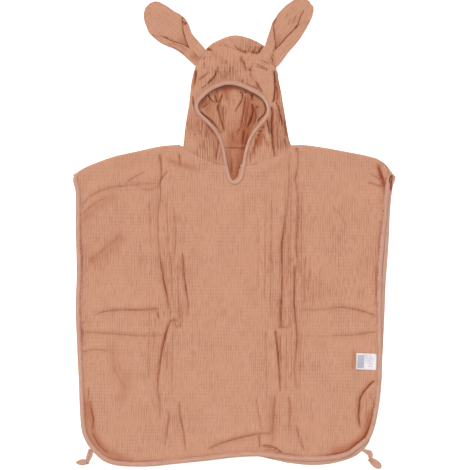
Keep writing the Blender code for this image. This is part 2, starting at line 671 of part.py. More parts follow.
def add_ear(name, rows, lean, seam_rows, cloth):
    start, end = (HOOD_FRONT[k] for k in seam_rows)
    start, end = flat(start.outer_x, start.outer_y), flat(end.outer_x, end.outer_y)
    lean = math.radians(lean)
    axis = flat(math.cos(lean), math.sin(lean))
    across = flat(axis.y, -axis.x)
    seam = (end - start).normalized()
    skew = seam.dot(axis) / seam.dot(across)
    away = flat(-seam.y, seam.x)
    _, stations = hood_stations(*seam_rows)
    bulge = max((station[0] - start).dot(away) for station in stations)
    root = (start + end) / 2 + (max(bulge, 0.0) + 1.5 * SEAM_GAP) * away
    sections = []
    for at in spread(0, len(rows) - 1, (len(rows) - 1) * EAR_SECTIONS_PER_ROW):
        row = between_rows(rows, at)
        shear = skew * max(1 - row.s / EAR_SHEAR_LENGTH, 0.0)
        sections.append([root + (row.s + shear * n) * axis + n * across + (z + row.z) * UP
                         for n, z in ear_section(row)])
    lofted(name, sections, cloth)


# --- The ties and the label.

def add_tie(name, route, knot, tip, cloth):
    """A strap out of the binding, and the knot with its leaf-shaped end."""
    cord = bpy.data.curves.new(name + "_strap", "CURVE")
    cord.dimensions = "3D"
    cord.bevel_depth = TIE_STRAP_RADIUS * MM
    cord.bevel_resolution = 2
    cord.use_fill_caps = True
    cord.materials.append(cloth)
    points = [flat(x, y, TIE_STRAP_RADIUS + 0.1) for x, y in route]
    spline = cord.splines.new("POLY")
    spline.points.add(len(points) - 1)
    for spot, point in zip(spline.points, points):
        spot.co = (*(point * MM), 1.0)
    strap = bpy.data.objects.new(name + "_strap", cord)
    bpy.context.collection.objects.link(strap)
    strap.parent = bpy.data.objects["lay_frame"]

    knot, tip = flat(*knot), flat(*tip)
    axis = (tip - knot).normalized()
    across = flat(-axis.y, axis.x)
    half = TIE_KNOT["length"] / 2
    reach = (tip - knot).length
    stations = [(-half, 0.55, 0.5), (-0.6 * half, 0.9, 0.9), (0.0, 1.0, 1.0), (0.6 * half, 0.9, 0.9)]
    sections = []
    for s, wide, tall in stations:
        sections.append((s, TIE_KNOT["width"] / 2 * wide, TIE_KNOT["height"] * tall))
    for share, wide in ((0.30, 0.40), (0.45, 0.75), (0.68, 1.0), (0.88, 0.72), (1.0, 0.15)):
        sections.append((reach * share, TIE_LEAF["width"] / 2 * wide, TIE_LEAF["height"]))
    rings = []
    for s, half_width, height in sections:
        ring = []
        for k in range(8):
            angle = math.radians(22.5 + 45 * k)
            ring.append(knot + s * axis + half_width * math.cos(angle) * across
                        + height / 2 * (1 + math.sin(angle) / math.sin(math.radians(67.5))) * UP)
        rings.append(ring)
    lofted(name + "_end", rings, cloth)


def add_label(front_left, front_right, satin):
    """A satin care label on the front panel, cut from the panel's own surface and moved out."""
    bm = sheet_bmesh(front_left, front_right)
    turn = math.radians(LABEL["tilt"])
    centre = flat(LABEL["x"], LABEL["y"])
    for way, half in ((0, LABEL["width"] / 2), (90, LABEL["height"] / 2)):
        angle = turn + math.radians(way)
        for sign in (1, -1):
            normal = sign * flat(math.cos(angle), math.sin(angle))
            bmesh.ops.bisect_plane(bm, geom=bm.verts[:] + bm.edges[:] + bm.faces[:], dist=0.001,
                                   plane_co=centre + half * normal, plane_no=normal, clear_outer=True)
    for vert in bm.verts:
        vert.co.z += WALL + 2 * SEAM_GAP
    cloth_wall("care_label", bm, satin, LABEL_WALL)


def main():
    for old in list(bpy.data.objects):
        bpy.data.objects.remove(old, do_unlink=True)
    frame = bpy.data.objects.new("lay_frame", None)
    frame.location = (0.0, -MIDDLE_Y * MM, 0.0)
    bpy.context.collection.objects.link(frame)
    cloth = material("terracotta_gauze", TERRACOTTA)
    tape = material("terracotta_tape", TAPE_COLOUR)
    inside = material("terracotta_gauze_inside", INSIDE_COLOUR)
    satin = material("white_satin", (0.85, 0.85, 0.84), 0.4)
    front_left, front_right = add_front_panel(cloth, tape)
    add_back_panel(inside, tape)
    add_hood_front(cloth, tape)
    add_hood_crown(cloth)
    add_hood_back(inside)
    add_ear("ear_left", EAR_LEFT, EAR_LEFT_LEAN, LEFT_EAR_ROWS, cloth)
    add_ear("ear_right", EAR_RIGHT, EAR_RIGHT_LEAN, RIGHT_EAR_ROWS, cloth)
    add_tie("tie_left", TIE_LEFT, TIE_LEFT_KNOT, TIE_LEFT_TIP, tape)
    add_tie("tie_right", TIE_RIGHT, TIE_RIGHT_KNOT, TIE_RIGHT_TIP, tape)
    add_label(front_left, front_right, satin)


main()
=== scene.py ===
"""A child's hooded bath poncho with rabbit ears, in crinkled cotton double gauze, laid out face up.

Shapes are worked out in millimetres on the laid garment, x across it, y up from the hem and z up
from the surface that it lies on, and placed in the row frame as the last step.
"""

import math
from collections import namedtuple

import bmesh
import bpy
import numpy as np
from mathutils import Matrix, Vector


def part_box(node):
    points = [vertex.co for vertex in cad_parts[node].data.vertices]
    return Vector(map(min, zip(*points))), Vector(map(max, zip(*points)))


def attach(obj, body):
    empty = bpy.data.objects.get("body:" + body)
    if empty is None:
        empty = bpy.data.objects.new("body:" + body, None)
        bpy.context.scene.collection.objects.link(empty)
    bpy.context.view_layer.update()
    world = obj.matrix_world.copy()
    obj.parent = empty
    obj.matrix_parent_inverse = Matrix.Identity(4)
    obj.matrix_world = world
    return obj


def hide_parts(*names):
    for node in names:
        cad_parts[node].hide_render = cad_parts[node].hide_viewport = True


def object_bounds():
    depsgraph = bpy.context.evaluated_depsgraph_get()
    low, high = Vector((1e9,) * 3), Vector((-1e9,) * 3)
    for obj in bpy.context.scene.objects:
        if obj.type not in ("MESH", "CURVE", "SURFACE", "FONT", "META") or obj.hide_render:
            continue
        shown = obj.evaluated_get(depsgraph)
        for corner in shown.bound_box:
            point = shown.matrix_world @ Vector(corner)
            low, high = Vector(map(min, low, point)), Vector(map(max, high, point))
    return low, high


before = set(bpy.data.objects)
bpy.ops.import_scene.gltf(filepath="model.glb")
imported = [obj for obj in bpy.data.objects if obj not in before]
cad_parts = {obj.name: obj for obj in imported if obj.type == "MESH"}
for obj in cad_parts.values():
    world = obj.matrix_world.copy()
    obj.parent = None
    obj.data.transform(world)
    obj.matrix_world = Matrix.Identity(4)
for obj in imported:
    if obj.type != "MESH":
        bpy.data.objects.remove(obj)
cad_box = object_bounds()

MM = 0.001
WALL = 1.2                  # double gauze
GAP = 0.3                   # between pieces that lie on each other
TAPE_WALL = 0.8
TAPE_SIDE = TAPE_WALL + GAP
BODY_TAPE = 9.5             # widths of the binding tapes
FACE_TAPE = 8.0
BAND = BODY_TAPE + 0.5
FACE_BAND = FACE_TAPE + 1.0
ROLL = 4.2                  # a soft fold's turn, seen from above
STITCH_STEP = 3.4
STITCH_LENGTH = 2.5
THREAD_WIDTH = 0.62
BODY_STITCHES_IN = 6.9      # from the bound edge
FACE_STITCHES_IN = 5.6
STITCHES_UP = WALL + GAP + TAPE_WALL + 0.25     # from the panel's underside
BACK_EDGE_Z = TAPE_SIDE
FRONT_Z = WALL + GAP
FRONT_EDGE_Z = BACK_EDGE_Z + WALL + 2 * TAPE_SIDE + GAP
FRONT_BLEND = 22.0          # over how far each panel passes from its edge's height to its own
BACK_BLEND = 12.0
TOP_BLEND = 24.0            # the same, below the shoulder folds and beside the slit


def table(columns, *rows):
    """Rows with named columns."""
    row_type = namedtuple("Row", columns)
    return [row_type(*row) for row in rows]


# --- Outlines, as they are cut and laid.

FRONT_LEFT_SIDE = table(
    "y x",
    (27, -267), (42, -278), (65, -288), (105, -292), (160, -294), (220, -297), (300, -300),
    (370, -298), (450, -300), (520, -300), (543, -305), (555, -302))
FRONT_RIGHT_SIDE = table(
    "y x",
    (37, 241), (50, 256), (70, 265), (105, 273), (145, 278), (190, 280.5), (300, 279.5),
    (372, 280.5), (430, 285.5), (483, 290.5), (515, 293.5), (534, 295.5), (547, 299.5), (555, 305))
BACK_RIGHT_SIDE = table(
    "y x",
    (33, 248), (45, 256), (65, 262), (105, 270), (145, 275), (200, 281), (290, 285.5),
    (350, 288), (420, 293), (490, 296.5), (530, 301), (548, 307))
FRONT_HEM = table(
    "x y",
    (-267, 27), (-250, 12), (-228, 3), (-200, 0), (-160, 0), (-110, 5), (-50, 11), (0, 17),
    (46, 19), (80, 16), (115, 11.5), (160, 10.5), (195, 14), (220, 21.5), (241, 37))
BACK_HEM = table(
    "x y",
    (-262, 30), (-245, 15), (-225, 7), (-200, 4), (-160, 4), (-110, 9), (-50, 15), (0, 20),
    (48, 18), (75, 12), (105, 6), (145, 2), (180, 4), (210, 11), (232, 20), (248, 33))
SHOULDER_LEFT = table(
    "x y",
    (-302, 555), (-285, 566), (-262, 576), (-228, 588), (-182, 598.5), (-137, 608), (-103, 611))
SHOULDER_RIGHT = table(
    "x y",
    (114, 610), (137, 610.5), (182, 604.5), (217, 598), (262, 589), (285, 580), (306, 555))
SLIT = table(
    "x y",
    (-8.5, 551), (-4.8, 543.5), (1.2, 539.5), (7.2, 543.5), (12.2, 551))
HOOD_FRONT = table(
    "outer_x outer_y inner_x inner_y rim_z mid_z inner_z sag",
    (-96.9, 606.1, -12.5, 571.0, FRONT_EDGE_Z, 6.5, 3.6, 6),
    (-95.0, 623.2, -20.9, 612.0, 6.0, 8.5, 4.4, 4),
    (-93.1, 642.2, -32.3, 636.5, 7.0, 9.0, 5.5, 2),
    (-89.3, 666.9, -49.4, 656.0, 7.5, 9.0, 6.5, 0),
    (-85.5, 687.8, -64.5, 670.7, 8.0, 8.8, 8.0, 0),
    (-82.7, 710.6, -68.4, 687.0, 8.0, 9.0, 9.0, 0),
    (-79.8, 733.4, -58.0, 700.5, 8.0, 9.6, 8.6, 0),
    (-71.8, 760.0, -43.0, 713.5, 8.0, 11.0, 8.8, 0),
    (-50.0, 786.0, -27.0, 720.8, 9.5, 12.5, 9.0, 0),
    (-28.5, 798.0, -12.0, 724.6, 10.0, 13.0, 9.0, 0),
    (7.6, 788.5, 9.0, 721.8, 10.0, 13.0, 9.0, 0),
    (43.7, 780.0, 32.0, 711.6, 9.5, 12.5, 9.0, 0),
    (77.9, 756.2, 51.5, 700.0, 8.0, 11.0, 8.8, 0),
    (84.6, 733.4, 61.0, 686.0, 8.0, 9.6, 8.6, 0),
    (89.3, 710.6, 62.4, 671.6, 8.0, 9.0, 8.4, 0),
    (93.1, 687.8, 53.5, 656.0, 8.0, 9.0, 8.0, 0),
    (96.9, 666.9, 40.0, 640.3, 7.5, 9.0, 6.5, 0),
    (100.7, 642.2, 29.0, 623.0, 7.0, 9.0, 5.5, 3),
    (104.5, 623.2, 21.5, 600.4, 6.0, 8.5, 4.4, 5),
    (110.2, 606.1, 16.0, 571.0, FRONT_EDGE_Z, 6.5, 3.6, 7.5))
LEFT_EAR_ROWS = (7, 8)
RIGHT_EAR_ROWS = (11, 12)
HOOD_CROWN = table(
    "edge_x edge_y seam_z",
    (-76.5, 763.5, 5.0), (-55.6, 790.6, 6.5), (-34.2, 807.5, 9.8), (5.7, 819.0, 10.0),
    (56.0, 800.0, 5.0), (81.5, 762.0, 5.0))
EAR_COLUMNS = "s left right left_flap right_flap left_turn right_turn z"
EAR_LEFT = table(
    EAR_COLUMNS,
    (-6, -15, 16, -1.3, -0.7, 180, 180, 1.6),
    (0, -16.5, 18.5, -1.3, -0.7, 180, 180, 1.8),
    (12, -17.5, 20, -1.3, -0.7, 180, 180, 1.9),
    (27, -18, 21, -1.3, -0.7, 180, 180, 1.3),
    (46, -21, 23, -7.5, 7.0, 180, 180, 0.3),
    (61, -27.5, 30, -15, 16, 180, 180, 0),
    (74, -32, 33.5, -20, 26.5, 180, 160, 0),
    (81, -33.3, 33, -23.5, 30.5, 178, 30, 0),
    (87, -34, 32, -27, 31, 160, 0, 0),
    (101, -34.5, 28, -33.5, 27, 10, 0, 0),
    (116, -29, 25.5, -28, 24.5, 0, 0, 0),
    (129, -22.5, 21.5, -21.5, 20.5, 0, 0, 0),
    (138, -14, 16, -13, 15, 0, 0, 0),
    (142.5, -5, 6, -4.5, 5.5, 0, 0, 0))
EAR_RIGHT = table(
    EAR_COLUMNS,
    (0, -18.4, 22.5, 4.5, 5.1, 180, 180, 8.3),
    (13, -17.4, 25.6, 4.5, 5.1, 180, 180, 7.6),
    (25, -17.4, 26.6, 4.3, 5.3, 180, 180, 4.6),
    (42, -20.9, 29.6, -6.4, 9.1, 180, 180, 0.3),
    (55, -23.4, 32.6, -15.5, 11.6, 180, 180, 0),
    (69, -25.9, 34.6, -22, 15.6, 90, 180, 0),
    (88, -24.9, 35.6, -24, 20.5, 0, 180, 0),
    (101, -21.9, 35.6, -21, 28, 0, 150, 0),
    (111, -18.9, 35.1, -18, 34, 0, 30, 0),
    (122, -13.4, 32.6, -12.5, 31.6, 0, 0, 0),
    (133, -6.9, 27.6, -6, 26.6, 0, 0, 0),
    (139.5, 4, 14, 4.5, 13.5, 0, 0, 0))
EAR_LEFT_ROOT = (-64.1, 774.5)
EAR_LEFT_SEAM_LEAN = 49.4
EAR_LEFT_LEAN = 135.0
EAR_RIGHT_ROOT = (62.1, 769.9)
EAR_RIGHT_SEAM_LEAN = -34.8
EAR_RIGHT_LEAN = 60.9
EAR_SHEAR_LENGTH = 30.0
EAR_WALL = 2.0
EAR_FOLD_GAP = 0.7
EAR_SIDE_SHARE = 0.36       # of the cloth's width that each side takes
EAR_FOLD_SHARE = 0.4        # of a side that goes round the fold
CROWN_TURN = 7.0            # how far in the crown's outer edge is round, at most
CROWN_TURN_SHARE = 0.4      # of the rows that lie on it
HOOD_TOP_SIDE_Y = 765.0
HOOD_TOP_RISE = 49.0
HOOD_BACK_INSET = WALL + 4 * GAP

TIE_WIDTH = 5.0
TIE_STEP = 1.6
TIE_THROUGH = (5.5, 9.0)    # how far it goes on through the knot
TIE_Z = TIE_WIDTH * 0.36 + 0.6
TIE_STRAND_Z = 1.7
TIE_KNOT_Z = 3.4
TIE_TIP_Z = 1.6
KNOT_TURNS = 1.45
KNOT_LENGTH = 5.6
KNOT_HALF_WIDTH = 3.3
KNOT_HALF_HEIGHT = 1.9
TIE_LEFT = [(-273.9, 31.4), (-276.5, 24.0), (-278.4, 18.0), (-279.1, 12.5)]
TIE_LEFT_KNOT = (-279.3, 7.6)
TIE_LEFT_TIP = (-301.5, 5.7)
TIE_LEFT_STRAND = [
    (-270.6, 32), (-271.2, 25.5), (-271.6, 20), (-273.6, 14.8), (-277.2, 10.5), (-279, 8)]
TIE_LEFT_LEAF = table(
    "share half_width", (0.02, 3.0), (0.2, 5.4), (0.42, 6.1), (0.65, 5.0), (0.88, 2.9), (1, 0.5))
TIE_RIGHT = [(248.3, 28.9), (254.9, 27.6), (260.2, 26.8), (261.6, 21.4), (260.6, 16.4)]
TIE_RIGHT_KNOT = (259.0, 12.0)
TIE_RIGHT_TIP = (280.4, -4.2)
TIE_RIGHT_STRAND = [(245.5, 29.5), (251.2, 25.6), (256.2, 21.6), (257.8, 16.6), (259, 12.5)]
TIE_RIGHT_LEAF = table(
    "share half_width", (0.02, 3.4), (0.16, 6.0), (0.4, 7.3), (0.7, 6.9), (0.9, 4.4), (1, 0.6))
LABEL = dict(x=251.0, y=198.5, width=38.0, height=31.0, tilt=-2.0)
LABEL_UNDER_SHIFT = (0.6, -0.5)     # of its lower leaf

# --- Creases of the laid cloth: the line that each follows, which side of the line's way has the ridge
# (1 on the left, -1 on the right), the ridge's height and width, the hollow's depth, how far the cloth
# drops beyond the line, how dark the painted shade on the pinched line itself is (it also sets the soft
# painted shade beside it) and how wide that line is. A point's third number is the crease's strength there.

CREASE = "line side rise width depth step dark sharp"

# Soft shade in the hollows between folds: along a line, how strong and how wide.
SHADE = "line strength width"

FRONT_CREASES = table(
    CREASE,
    # left of the middle, from the shoulder down
    (((-139, 596.6, 0.4), (-137, 551, 0.4), (-140.6, 532, 0.4), (-137, 522.5, 0.4),
      (-143.6, 486.4, 0.35), (-144.4, 456, 0.3), (-143, 422, 0.35), (-140.6, 399, 0.45),
      (-137, 378, 0.7), (-133, 349.6), (-128.4, 332.5), (-125.4, 317.3, 0.6), (-122.7, 296.4, 0.25),
      (-119.7, 277.4, 0.1)), 1, 2.2, 8, 2.2, 0, 0.75, 1.4),
    (((-102.6, 271.7, 0.5), (-110, 276.6, 0.4), (-118.6, 277.4, 0.4), (-122.4, 271.7, 0.7),
      (-125, 262), (-129, 251), (-132, 239.4, 0.95), (-135, 226, 0.8), (-138.7, 205, 0.65),
      (-140.6, 188, 0.6), (-143, 171, 0.6), (-144.4, 152, 0.35),
      (-143.6, 125.4, 0.2)), 1, 2.2, 8, 2.4, 0, 0.85, 1.7),
    (((-145.5, 294.5), (-143.6, 287), (-141.4, 277.4, 0.6)), 1, 0.5, 4, 0.6, 0, 0.45, 1.7),
    (((-112, 275.5, 0.6), (-110, 266), (-105.3, 262, 0.6)), 1, 0.5, 4, 0.6, 0, 0.4, 1.4),
    (((-102, 275.5, 0.5), (-101.5, 260.3)), 1, 0.3, 4, 0.4, 0, 0.35, 1.1),
    (((-140.6, 140.6, 0.6), (-140.6, 114), (-138.7, 85.5, 0.4)), 1, 1, 8, 1, 0, 0.3, 1.4),
    (((-114, 494, 0.5), (-110, 444.6), (-112, 406.6), (-116, 376, 0.6)), 1, 1.2, 8, 1.2, 0, 0.2, 1.5),
    (((-97.7, 406.6, 0.5), (-95.4, 384, 0.8), (-94, 359), (-91, 338, 0.95), (-88, 321, 0.7),
      (-86.3, 304, 0.4), (-86.6, 281, 0.3)), 1, 1.6, 7, 2, 0, 0.62, 1.5),
    (((-100.7, 315.4), (-97, 270)), 1, 0.8, 7, 0.8, 0, 0.2, 1.4),
    (((-122.4, 110, 0.6), (-125.4, 68.4), (-132, 36, 0.6)), 1, 1.2, 8, 1.2, 0, 0.35, 1.5),
    (((-103.4, 125.4, 0.5), (-101.5, 91), (-94, 61), (-91, 23, 0.5)), 1, 1.2, 8, 1.3, 0, 0.4, 1.5),
    (((-141.6, 596, 0.7), (-140, 580), (-135.7, 561, 0.7)), 1, 0.6, 5, 0.8, 0, 0.4, 1.2),
    (((-124, 562, 0.7), (-131, 553), (-139.7, 541.5), (-143.5, 526, 0.5)), 1, 0.6, 5, 0.8, 0, 0.5, 1.2),
    (((-104.5, 597), (-102.6, 583), (-100.7, 568, 0.5)), 1, 0.6, 5, 0.7, 0, 0.55, 1.2),
    (((-160.4, 505.4), (-157.7, 410.4, 0.6)), 1, 0.4, 5, 0.5, 0, 0.18, 1.1),
    (((-129, 505.4, 0.6), (-124.6, 448.4), (-125.4, 391.4, 0.5)), 1, 0.4, 5, 0.5, 0, 0.22, 1.2),
    (((-121.6, 410.4), (-118, 315.4, 0.6)), -1, 0.4, 5, 0.5, 0, 0.24, 1.1),
    (((-106.4, 391.4, 0.7), (-103.7, 277.4)), 1, 0.5, 5, 0.5, 0, 0.26, 1.2),
    (((-159.6, 315.4, 0.6), (-162, 163.4)), 1, 0.3, 5, 0.4, 0, 0.16, 1.2),
    (((-116, 258.4), (-118, 125.4, 0.5)), 1, 0.4, 5, 0.4, 0, 0.22, 1.2),
    (((-125.4, 239.4, 0.6), (-127.3, 178.6)), 1, 0.3, 5, 0.4, 0, 0.24, 1.1),
    (((-150, 270, 0.6), (-152, 216.6)), 1, 0.3, 5, 0.4, 0, 0.2, 1.1),
    (((-177.5, 429.4), (-176.7, 361, 0.6)), 1, 0.3, 5, 0.3, 0, 0.14, 1.1),
    (((-78.7, 258.4, 0.5), (-78, 178.6, 0.6)), 1, 0.3, 5, 0.3, 0, 0.16, 1.1),
    (((-64.6, 258.4), (-65.7, 216.6, 0.5)), 1, 0.3, 5, 0.3, 0, 0.14, 1.1),
    # across the left side
    (((-264, 287, 0.5), (-249, 294, 0.7), (-216.6, 297, 0.8), (-190, 296.4, 0.9), (-165.3, 296.4),
      (-154, 298.3), (-140.6, 298.3, 0.9)), 1, 1.8, 9, 2, 0, 0.42, 1.5),
    (((-292.6, 256.5, 0.6), (-262, 252.7), (-216.6, 251), (-178.6, 247, 0.9),
      (-133, 249, 0.6)), 1, 1.3, 9, 1.4, 0, 0.22, 1.6),
    (((-290.7, 216.6), (-262, 223), (-238, 218, 0.6)), 1, 1, 8, 1, 0, 0.24, 1.4),
    (((-291, 494, 0.6), (-270, 517), (-234, 530), (-179, 536),
      (-141, 538, 0.5)), 1, 1.4, 11, 1.2, 0, 0.2, 2),
    (((-205, 540), (-186, 551), (-167, 560, 0.6)), 1, 0.7, 7, 0.8, 0, 0.25, 1.3),
    (((-289, 479), (-262, 502), (-236, 513, 0.5)), 1, 0.8, 9, 0.8, 0, 0.18, 1.7),
    (((-277, 388), (-249, 410), (-213, 441)), 1, 0.9, 10, 0.7, 0, 0.1, 2.4),
    (((-142, 532), (-160, 524), (-179, 528)), -1, 0.6, 7, 0.6, 0, 0.2, 1.4),
    # right of the middle
    (((104, 600.4, 0.15), (104.5, 558.6, 0.3), (103.4, 515, 0.35), (100.7, 490, 0.4),
      (96.5, 463.6, 0.6), (93, 441, 0.8), (90, 418, 0.95), (90.4, 395, 0.9), (91.6, 363, 0.75),
      (90.4, 330.6, 0.7), (89, 300, 0.8), (88.5, 275.5, 0.75),
      (89.9, 258.4, 0.3)), -1, 2, 8, 2.4, 0, 0.66, 1.7),
    (((77, 260.3, 0.6), (80, 243, 0.9), (82, 224), (83.6, 205, 0.95), (85.5, 182.4, 0.75),
      (87, 156, 0.5), (87.4, 137, 0.2)), -1, 1.8, 7, 2.2, 0, 0.85, 1.7),
    (((88.5, 251, 0.5), (88.5, 232), (89, 213, 0.8), (91, 194, 0.3)), 1, 0.6, 5, 0.6, 0, 0.5, 1.2),
    (((81.7, 265, 0.8), (93, 263.7), (106.4, 264, 0.5)), 1, 0.6, 6, 0.8, 0, 0.35, 1.2),
    (((80, 135, 0.6), (76, 102.6), (74, 57, 0.6)), 1, 0.9, 7, 0.8, 0, 0.24, 2),
    (((104, 135), (108.3, 106.4), (104, 68.4, 0.5)), 1, 0.6, 7, 0.8, 0, 0.24, 1.6),
    (((118.6, 607, 0.8), (121, 599), (124, 592, 0.6)), 1, 0.4, 3, 0.5, 0, 0.6, 1.1),
    (((114, 604, 0.8), (118, 600), (122, 604, 0.6)), 1, 0.3, 3, 0.4, 0, 0.5, 1.0),
    (((122, 600, 0.4), (121, 575.7, 0.5), (119.7, 558.6, 0.9), (115, 545.3, 0.8),
      (118.6, 532, 0.7), (121.6, 513, 0.7), (121, 486.4, 0.8), (120, 463.6, 0.9),
      (118.6, 441, 0.9), (118, 418, 0.95),
      (119, 399, 0.8), (121.6, 384, 0.5), (120.5, 365, 0.2)), -1, 1.3, 7, 1.5, 0, 0.45, 1.3),
    (((115, 384, 0.5), (114.4, 361, 0.8), (114, 334.4), (113.6, 308, 0.95), (116, 281, 0.8),
      (119.3, 254.6, 0.75), (119.7, 235.6, 0.7), (117, 213, 0.6), (114, 186, 0.4),
      (118, 144.4, 0.3)), -1, 1.7, 7, 1.9, 0, 0.6, 1.5),
    (((71.4, 505.4), (72, 429.4), (74, 363, 0.6)), 1, 0.7, 6, 0.7, 0, 0.16, 1.2),
    (((104, 444.6), (104, 387.6), (100.7, 330.6, 0.6)), 1, 0.8, 6, 0.8, 0, 0.2, 1.3),
    (((137, 401), (133, 344), (137, 306, 0.7)), 1, 0.5, 6, 0.6, 0, 0.24, 1.1),
    (((146.3, 376, 0.7), (143.6, 353.4), (141.4, 330.6, 0.6)), 1, 0.6, 6, 0.7, 0, 0.32, 1.2),
    (((45.6, 477), (47.5, 401), (45.6, 334.4)), 1, 0.4, 6, 0.4, 0, 0.1, 1.3),
    (((61, 515, 0.6), (59, 315.4)), 1, 0.4, 5, 0.5, 0, 0.18, 1.1),
    (((68.4, 429.4), (70.3, 277.4, 0.7)), -1, 0.4, 5, 0.5, 0, 0.2, 1.1),
    (((97, 543.4, 0.6), (99, 439)), 1, 0.5, 5, 0.5, 0, 0.24, 1.1),
    (((110, 543.4), (108.3, 401, 0.7), (108.3, 258.4)), 1, 0.5, 5, 0.5, 0, 0.22, 1.2),
    (((129, 524.4, 0.6), (127.3, 420), (128.4, 315.4, 0.6)), -1, 0.4, 5, 0.5, 0, 0.22, 1.1),
    (((61, 258.4), (62.7, 125.4, 0.5)), 1, 0.4, 5, 0.5, 0, 0.18, 1.2),
    (((100.7, 258.4, 0.8), (99, 144.4, 0.5)), 1, 0.5, 5, 0.5, 0, 0.26, 1.2),
    (((109.4, 258.4), (110, 156, 0.5)), 1, 0.4, 5, 0.4, 0, 0.2, 1.1),
    (((127.3, 258.4), (125.4, 125.4, 0.5)), 1, 0.4, 5, 0.4, 0, 0.18, 1.2),
    (((19, 524.4), (19, 448.4)), 1, 0.3, 5, 0.4, 0, 0.12, 1.1),
    (((152, 334.4), (150, 300, 0.6)), 1, 0.4, 5, 0.5, 0, 0.24, 1.1),
    (((164.5, 380, 0.6), (163.4, 315.4)), 1, 0.3, 5, 0.3, 0, 0.14, 1.1),
    # across the right side
    (((121.6, 297.5, 0.6), (148, 296.4), (182.4, 298.7, 0.8)), 1, 0.9, 8, 0.8, 0, 0.18, 1.4),
    (((175, 298.3, 0.5), (192, 301, 0.8), (207, 302, 0.9), (230, 298.3), (251, 292.6, 0.9),
      (271.7, 286, 0.7)), 1, 1.6, 9, 1.6, 0, 0.36, 1.5),
    (((182.4, 248, 0.5), (211, 248, 0.8), (232, 249.3), (271.7, 256)), 1, 1.2, 8, 1.2, 0, 0.26, 1.5),
    (((125.4, 247, 0.6), (182.4, 246)), 1, 0.4, 6, 0.4, 0, 0.1, 1.4),
    (((251, 540, 0.4), (266, 536.7), (283, 529.3)), 1, 0.9, 7, 0.9, 0, 0.36, 1.8),
    (((256.6, 556.6, 0.3), (271.7, 549), (283, 541.5)), 1, 0.5, 6, 0.6, 0, 0.26, 1.8),
    (((272, 573, 0.3), (277.5, 562, 0.8), (281, 552), (284, 541),
      (286, 530, 0.7)), 1, 0.9, 6, 1.1, 0, 0.8, 2.0),
    (((188, 494), (205, 475), (217, 448)), 1, 0.6, 9, 0.5, 0, 0.1, 2.4),
    # the corners and the hem
    (((270, 163.4, 0.6), (261.4, 157.7, 0.8), (252, 147, 0.9), (244, 135.7), (239.4, 125.4),
      (238.6, 112), (237.5, 97, 0.9), (238.6, 81.7, 0.6), (241, 68.4, 0.3)), 1, 2.2, 9, 2.4, 0, 1, 1.3),
    (((-53, 30.4, 0.5), (-34, 40, 0.8), (-17, 46), (11.4, 54), (34, 59), (48, 61.6),
      (72, 61.6, 0.5)), 1, 1.7, 10, 1.6, 0, 0.4, 1.5),
    (((47, 61.6), (48, 53), (48, 30.4, 0.7)), -1, 0.8, 6, 0.9, 0, 0.45, 1.2),
    (((51.3, 39), (64.6, 40), (79, 35.3), (87.4, 29), (94, 23.6)), 1, 1.2, 7, 1.4, 0, 0.55, 1.4),
    (((53, 31, 0.6), (68.4, 32.3), (81.7, 27.4, 0.6)), 1, 0.5, 5, 0.6, 0, 0.25, 1.2),
    (((118, 80), (124, 53), (135, 27.4)), 1, 1.2, 8, 1.2, 0, 0.3, 1.6),
    (((42, 129), (47.5, 97), (53, 66.5, 0.7)), 1, 0.8, 7, 0.8, 0, 0.22, 1.4),
    (((-274, 126, 0.6), (-271, 106), (-266.5, 86), (-269, 68, 0.8)), -1, 0.9, 5, 1.2, 0, 0.55, 1.2),
    (((-271, 66, 0.6), (-264, 50), (-252, 33), (-236, 21, 0.6)), -1, 0.6, 6, 0.8, 0, 0.45, 1.6),
    (((-276, 152, 0.6), (-275, 138), (-278, 122, 0.5)), 1, 0.4, 4, 0.5, 0, 0.3, 1.1),
    (((-232, 192), (-218, 167), (-201, 142)), 1, 0.6, 10, 0.6, 0, 0.1, 2.6))

# Round patches, felt most in their middle. First, where the body's tape throws a deeper shade.
PATCH = "x y reach strength"

EDGE_SHADES = table(
    PATCH,
    (256, 62, 34, 0.85), (238, 38, 30, 0.85), (200, 30, 34, 0.55), (262, 100, 22, 0.4),
    (-258, 100, 34, 0.5), (-245, 60, 30, 0.6), (-215, 35, 34, 0.5), (-170, 22, 30, 0.3),
    (276, 350, 40, 0.30), (276, 430, 30, 0.25), (282, 534, 15, 0.6), (-286, 400, 45, 0.30),
    (-288, 250, 18, 0.4), (100, 30, 30, 0.25), (-60, 22, 40, 0.1))
# Where the gauze is drawn together, so that its pinches take a deeper painted shade.
FRONT_GATHERS = table(
    PATCH,
    (-128, 480, 42, 0.3), (-122, 380, 46, 0.4), (-115, 290, 46, 0.4), (-135, 200, 40, 0.3),
    (105, 480, 46, 0.3), (100, 390, 50, 0.4), (100, 300, 48, 0.45), (100, 200, 46, 0.45),
    (95, 110, 40, 0.3), (-135, 100, 40, 0.3), (150, 330, 46, 0.3), (-270, 400, 40, 0.4),
    (200, 440, 60, 0.28), (210, 340, 60, 0.22), (262, 380, 34, 0.5), (262, 100, 30, 0.8))
HOOD_GATHERS = table(
    PATCH,
    (-62, 645, 40, 1.0), (-52, 608, 40, 0.9), (50, 620, 30, 1.0), (80, 640, 34, 1.0), (90, 600, 24, 0.7),
    (-10, 755, 32, 0.8), (12, 745, 24, 0.6), (35, 792, 20, 1.0), (-30, 780, 24, 0.6),
    (10, 620, 40, 0.5), (30, 670, 30, 0.7), (-20, 690, 30, 0.4))
